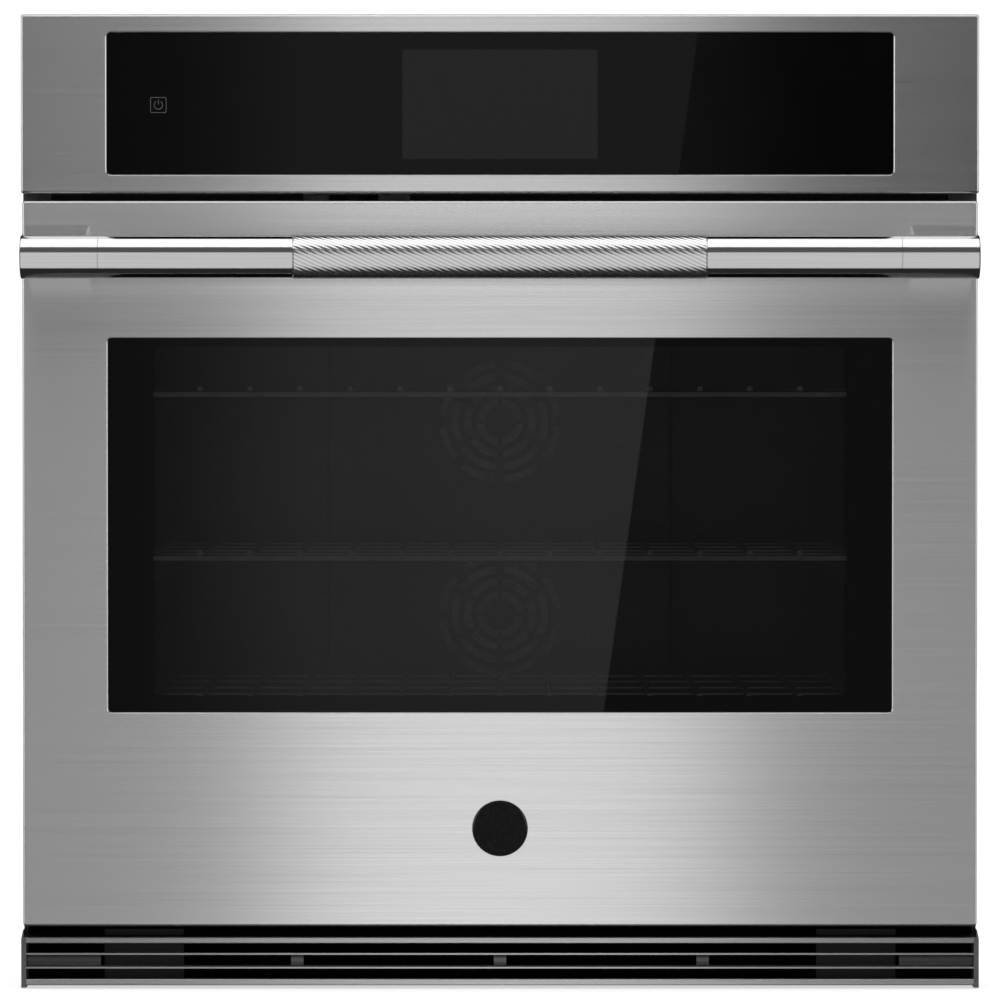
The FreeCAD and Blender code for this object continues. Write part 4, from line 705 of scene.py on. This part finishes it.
STEEL = [piece(n) for n in ("door_skin", "vent_rails")]
PANEL = [piece("control_fascia")]
HANDLE = [piece(n) for n in ("handle_bar", "Knurled_Grip", "handle_brackets")]
DOOR_GLASS = [piece(n) for n in ("door_outer_glass", "door_inner_glass", "Window_Print", "badge")]
CONTROL_GLASS = [piece(n) for n in ("control_glass", "Display_Window")]
RACKS = [piece(n) for n in ("rack_upper", "rack_lower", "rack_roll_out", "rack_guides", "slide_rails_outer",
                            "slide_rails_middle", "broil_element")]
CAVITY = [piece(n) for n in ("fan_baffle", "fan_wheel_upper", "fan_wheel_lower", "cavity_back",
                             "cavity_sides", "cavity_ceiling", "cavity_floor", "convection_elements")]

SHEET = [piece(s["node"]) for s in frame["record"]["subparts"] if s["material_slot"] == "galvanised_sheet"]


def soft_light(name, centre, target, size, radiance, receivers=None, roll=0.0, gradient=None):
    """A rectangular softbox of even radiance, or one that follows X through gradient stops."""
    data = bpy.data.lights.new(name, "AREA")
    data.shape = "RECTANGLE"
    data.size, data.size_y = size
    data.energy = radiance * math.pi * size[0] * size[1]
    lamp = bpy.data.objects.new(name, data)
    lamp.location = centre
    aim = Vector(target) - Vector(centre)
    lamp.rotation_mode = "QUATERNION"
    lamp.rotation_quaternion = Quaternion(aim.normalized(), roll) @ aim.to_track_quat("-Z", "Y")
    scene.collection.objects.link(lamp)
    lamp.visible_camera = False
    if gradient:
        tree = Tree(data)
        emission = next(n for n in tree.nodes if n.type == "EMISSION")
        place = tree.add("ShaderNodeNewGeometry").outputs["Position"]
        split = tree.add("ShaderNodeSeparateXYZ")
        tree.join(place, split.inputs["Vector"])
        reach = gradient[-1][0]
        share = tree.spread(split.outputs["X"], 0.0, 1.0, (-reach, reach))
        stops = [((x + reach) / (2 * reach), value) for x, value in gradient]
        tree.join(tree.ramp(share, stops), emission.inputs["Color"])
    if receivers is not None:
        lamp.light_linking.receiver_collection = receivers
    return lamp


def studio():
    front_parts = STEEL + PANEL + HANDLE + DOOR_GLASS + CONTROL_GLASS
    linked = {
        "steel": collection_of("To_Steel", STEEL),
        "panel": collection_of("To_Panel", PANEL),
        "steel_and_panel": collection_of("To_Steel_And_Panel", STEEL + PANEL),
        "handle": collection_of("To_Handle", HANDLE),
        "door_glass": collection_of("To_Door_Glass", DOOR_GLASS),
        "control_glass": collection_of("To_Control_Glass", CONTROL_GLASS),
        "racks": collection_of("To_Racks", RACKS),
        "cavity": collection_of("To_Cavity", CAVITY),
        "sheet": collection_of("To_Sheet", SHEET),
        "sheet_and_steel": collection_of("To_Sheet_And_Steel", SHEET + STEEL + PANEL),
        "rest": collection_of("To_The_Rest", front_parts, "EXCLUDE"),
        "all_but_handle": collection_of("All_But_Handle", HANDLE, "EXCLUDE"),
    }
    mid = (0, 0, 0.4)
    front = CAMERA_Y
    door_profile = [(-1.6, 0.27), (-0.76, 0.36), (-0.60, 0.365), (-0.50, 0.38), (-0.42, 0.47), (-0.34, 0.76),
                    (-0.28, 0.99), (-0.20, 1.0), (0.20, 1.0), (0.27, 0.98), (0.34, 0.72), (0.42, 0.44),
                    (0.50, 0.36), (0.60, 0.35), (0.76, 0.35), (1.6, 0.27)]
    panel_profile = [(-1.6, 0.1), (-0.76, 0.21), (-0.63, 0.24), (-0.47, 0.28), (-0.40, 0.36), (-0.33, 0.70),
                     (-0.25, 1.0), (-0.10, 1.0), (0.0, 0.95), (0.16, 0.92), (0.24, 0.86), (0.32, 0.62),
                     (0.40, 0.25), (0.47, 0.13), (0.63, 0.08), (0.76, 0.05), (1.6, 0.02)]
    soft_light("Front_Steel", (0, front, STEEL_LIGHT_Z), (0, FRONT_Y, STEEL_LIGHT_Z), (3.2, STEEL_LIGHT_H),
               1.31, linked["steel"], gradient=door_profile)
    soft_light("Front_Panel", (0, front, 1.2), (0, FRONT_Y, 1.2), (3.2, 3.4), 1.07, linked["panel"],
               gradient=panel_profile)
    soft_light("Over_Steel", (0, -1.7, 3.2), (0, -0.3, 0.6), (4, 3.0), 1.7, linked["steel_and_panel"])

    # glass: grey cards whose right edge leans, and darkness beside them
    lean = math.atan(0.1385)
    width, height = 3.0, 7.0
    edge = Vector((0.238, front, 0.485))
    centre = edge + Vector((-math.cos(lean), 0, math.sin(lean))) * (width / 2)
    door_card = [(-3.4, 0.0), (-0.58, 0.02), (-0.47, 0.30), (-0.30, 0.80), (0.0, 1.0), (3.4, 1.0)]
    soft_light("Door_Glass_Card", centre, centre + Vector((0, 1, 0)), (width, height), 0.16,
               linked["door_glass"], roll=lean, gradient=door_card)
    soft_light("Door_Glass_Dim", (0, front - 0.5, 0.4), (0, FRONT_Y, 0.4), (6, 6), 0.045,
               linked["door_glass"])
    panel_card = [(-3.4, 0.0), (-0.64, 0.20), (-0.52, 0.32), (-0.44, 0.52), (-0.31, 1.0), (3.4, 1.0)]
    soft_light("Control_Glass_Card", centre, centre + Vector((0, 1, 0)), (width, height), 0.2,
               linked["control_glass"], roll=lean, gradient=panel_card)
    panel_dim = [(-3.0, 0.12), (0.10, 0.2), (0.28, 0.9), (0.38, 0.55), (0.474, 0.18), (0.54, 0.1),
                 (3.0, 0.1)]
    soft_light("Control_Glass_Dim", (0, front, 0.8), (0, FRONT_Y, 0.8), (6, 4), 0.1, linked["control_glass"],
               gradient=panel_dim)

    # behind the window
    mouth = (0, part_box("cavity_front_frame")[0].y - 0.004, 0.37)
    inwards = (0, 0.3, 0.37)
    mouth_size = (0.56, 0.29)
    soft_light("Rack_Light", mouth, inwards, mouth_size, 0.042, linked["racks"])
    soft_light("Cavity_Light", mouth, inwards, mouth_size, 0.09, linked["cavity"])

    # handle: white overhead, grey in front and below
    handle_low, handle_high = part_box("handle_bar")
    bar = (handle_low + handle_high) / 2

    def round_the_bar(name, low, high, distance, radiance):
        a = math.radians((low + high) / 2)
        half = math.radians((high - low) / 2)
        at = bar + distance * Vector((0, -math.cos(a), math.sin(a)))
        soft_light(name, at, bar, (7.0, 2 * distance * math.tan(half)), radiance, linked["handle"])

    round_the_bar("Bar_Top", 53, 112, 2.5, 1.22)
    round_the_bar("Bar_Dim", 23, 53, 3.0, 0.07)
    round_the_bar("Bar_Front", -63, 23, 3.5, 0.60)

    # everything: soft overhead, sides and back
    soft_light("Top_Box", (0, -0.8, 3.6), (0, 0, 0.5), (4, 3), 1.65, linked["rest"])
    soft_light("Left_Box", (-4.2, -0.8, 1.4), mid, (3, 3), 1.65, linked["all_but_handle"])
    soft_light("Right_Box", (4.2, -0.8, 1.4), mid, (3, 3), 1.65, linked["all_but_handle"])
    soft_light("Back_Box", (0, 4.5, 1.8), mid, (4, 3), 1.8, linked["all_but_handle"])
    corner, corner_size, corner_radiance = 3.6, (3.6, 5.5), 0.8
    corner_aim = (0, 0, 0.9)
    for side, x in (("Left", -corner), ("Right", corner)):
        soft_light("Corner_Front_" + side, (x, -corner, 0.9), corner_aim, corner_size, corner_radiance,
                   linked["sheet_and_steel"])
        soft_light("Corner_Back_" + side, (x, corner, 0.9), corner_aim, corner_size, corner_radiance,
                   linked["sheet"])
    soft_light("Front_Fill", (0, front - 1.0, 1.0), mid, (5, 4), 1.5, linked["rest"])

    world = bpy.data.worlds.new("Studio")
    world.use_nodes = True
    background = next(n for n in world.node_tree.nodes if n.type == "BACKGROUND")
    background.inputs["Color"].default_value = (1, 1, 1, 1)
    background.inputs["Strength"].default_value = 0.02
    scene.world = world


def stage_mesh(name, vertices, faces, material):
    obj = mesh_object(name, vertices, faces, material, smooth=True)
    obj.visible_glossy = False
    obj.visible_shadow = False
    return obj


def floor_and_backdrop():
    """A pale floor that glows with painted light, weaker near the oven and full far out, and runs out to a
    white surround.
    """
    material, tree, shader = new_surface("Pale_Floor")
    cloud = tree.noise((2.5, 2.5, 2.5), 3.0)
    tree.join(tree.ramp(cloud, [(0.3, 0.86), (0.7, 0.88)]), shader.inputs["Base Color"])
    shader.inputs["Roughness"].default_value = 0.9
    # painted light: the floor glows white, its strength rising from 0.62 near the oven to 1.0 further out
    shader.inputs["Emission Color"].default_value = (1, 1, 1, 1)
    glow_falloff = tree.add("ShaderNodeTexGradient", gradient_type="SPHERICAL")
    tree.join(tree.place((0.3, 0.3, 0.3)), glow_falloff.inputs["Vector"])
    tree.join(tree.spread(glow_falloff.outputs["Fac"], 1.0, 0.62, (0.0, 0.7)), shader.inputs["Emission Strength"])
    r = 14.0
    floor = stage_mesh("Floor", [(-r, -r, -0.0006), (r, -r, -0.0006), (r, r, -0.0006), (-r, r, -0.0006)],
                       [[0, 1, 2, 3]], material)
    floor.visible_transmission = False

    white = bpy.data.materials.new("Surround")
    tree = Tree(white)
    tree.nodes.remove(next(n for n in tree.nodes if n.type == "BSDF_PRINCIPLED"))
    emission = tree.add("ShaderNodeEmission")
    emission.inputs["Strength"].default_value = 1.05
    output = next(n for n in tree.nodes if n.type == "OUTPUT_MATERIAL")
    tree.join(emission.outputs["Emission"], output.inputs["Surface"])
    bpy.ops.mesh.primitive_uv_sphere_add(segments=48, ring_count=24, radius=30.0)
    dome = bpy.context.object
    dome.name = "Surround"
    dome.data.materials.append(white)
    dome.visible_glossy = False
    dome.visible_diffuse = False
    dome.visible_transmission = False
    dome.visible_volume_scatter = False
    dome.visible_shadow = False


def make_camera():
    data = bpy.data.cameras.new("Camera")
    data.lens = CAMERA_LENS_MM
    data.sensor_width = 36.0
    data.clip_end = 200.0
    camera = bpy.data.objects.new("Camera", data)
    camera.location = (0.0, CAMERA_Y, CAMERA_Z)
    aim = Vector((0.0, FRONT_Y, AIM_Z)) - camera.location
    camera.rotation_mode = "QUATERNION"
    camera.rotation_quaternion = aim.to_track_quat("-Z", "Y")
    scene.collection.objects.link(camera)
    scene.camera = camera


studio()
floor_and_backdrop()
make_camera()
scene.view_settings.view_transform = "Standard"
scene.view_settings.look = "None"
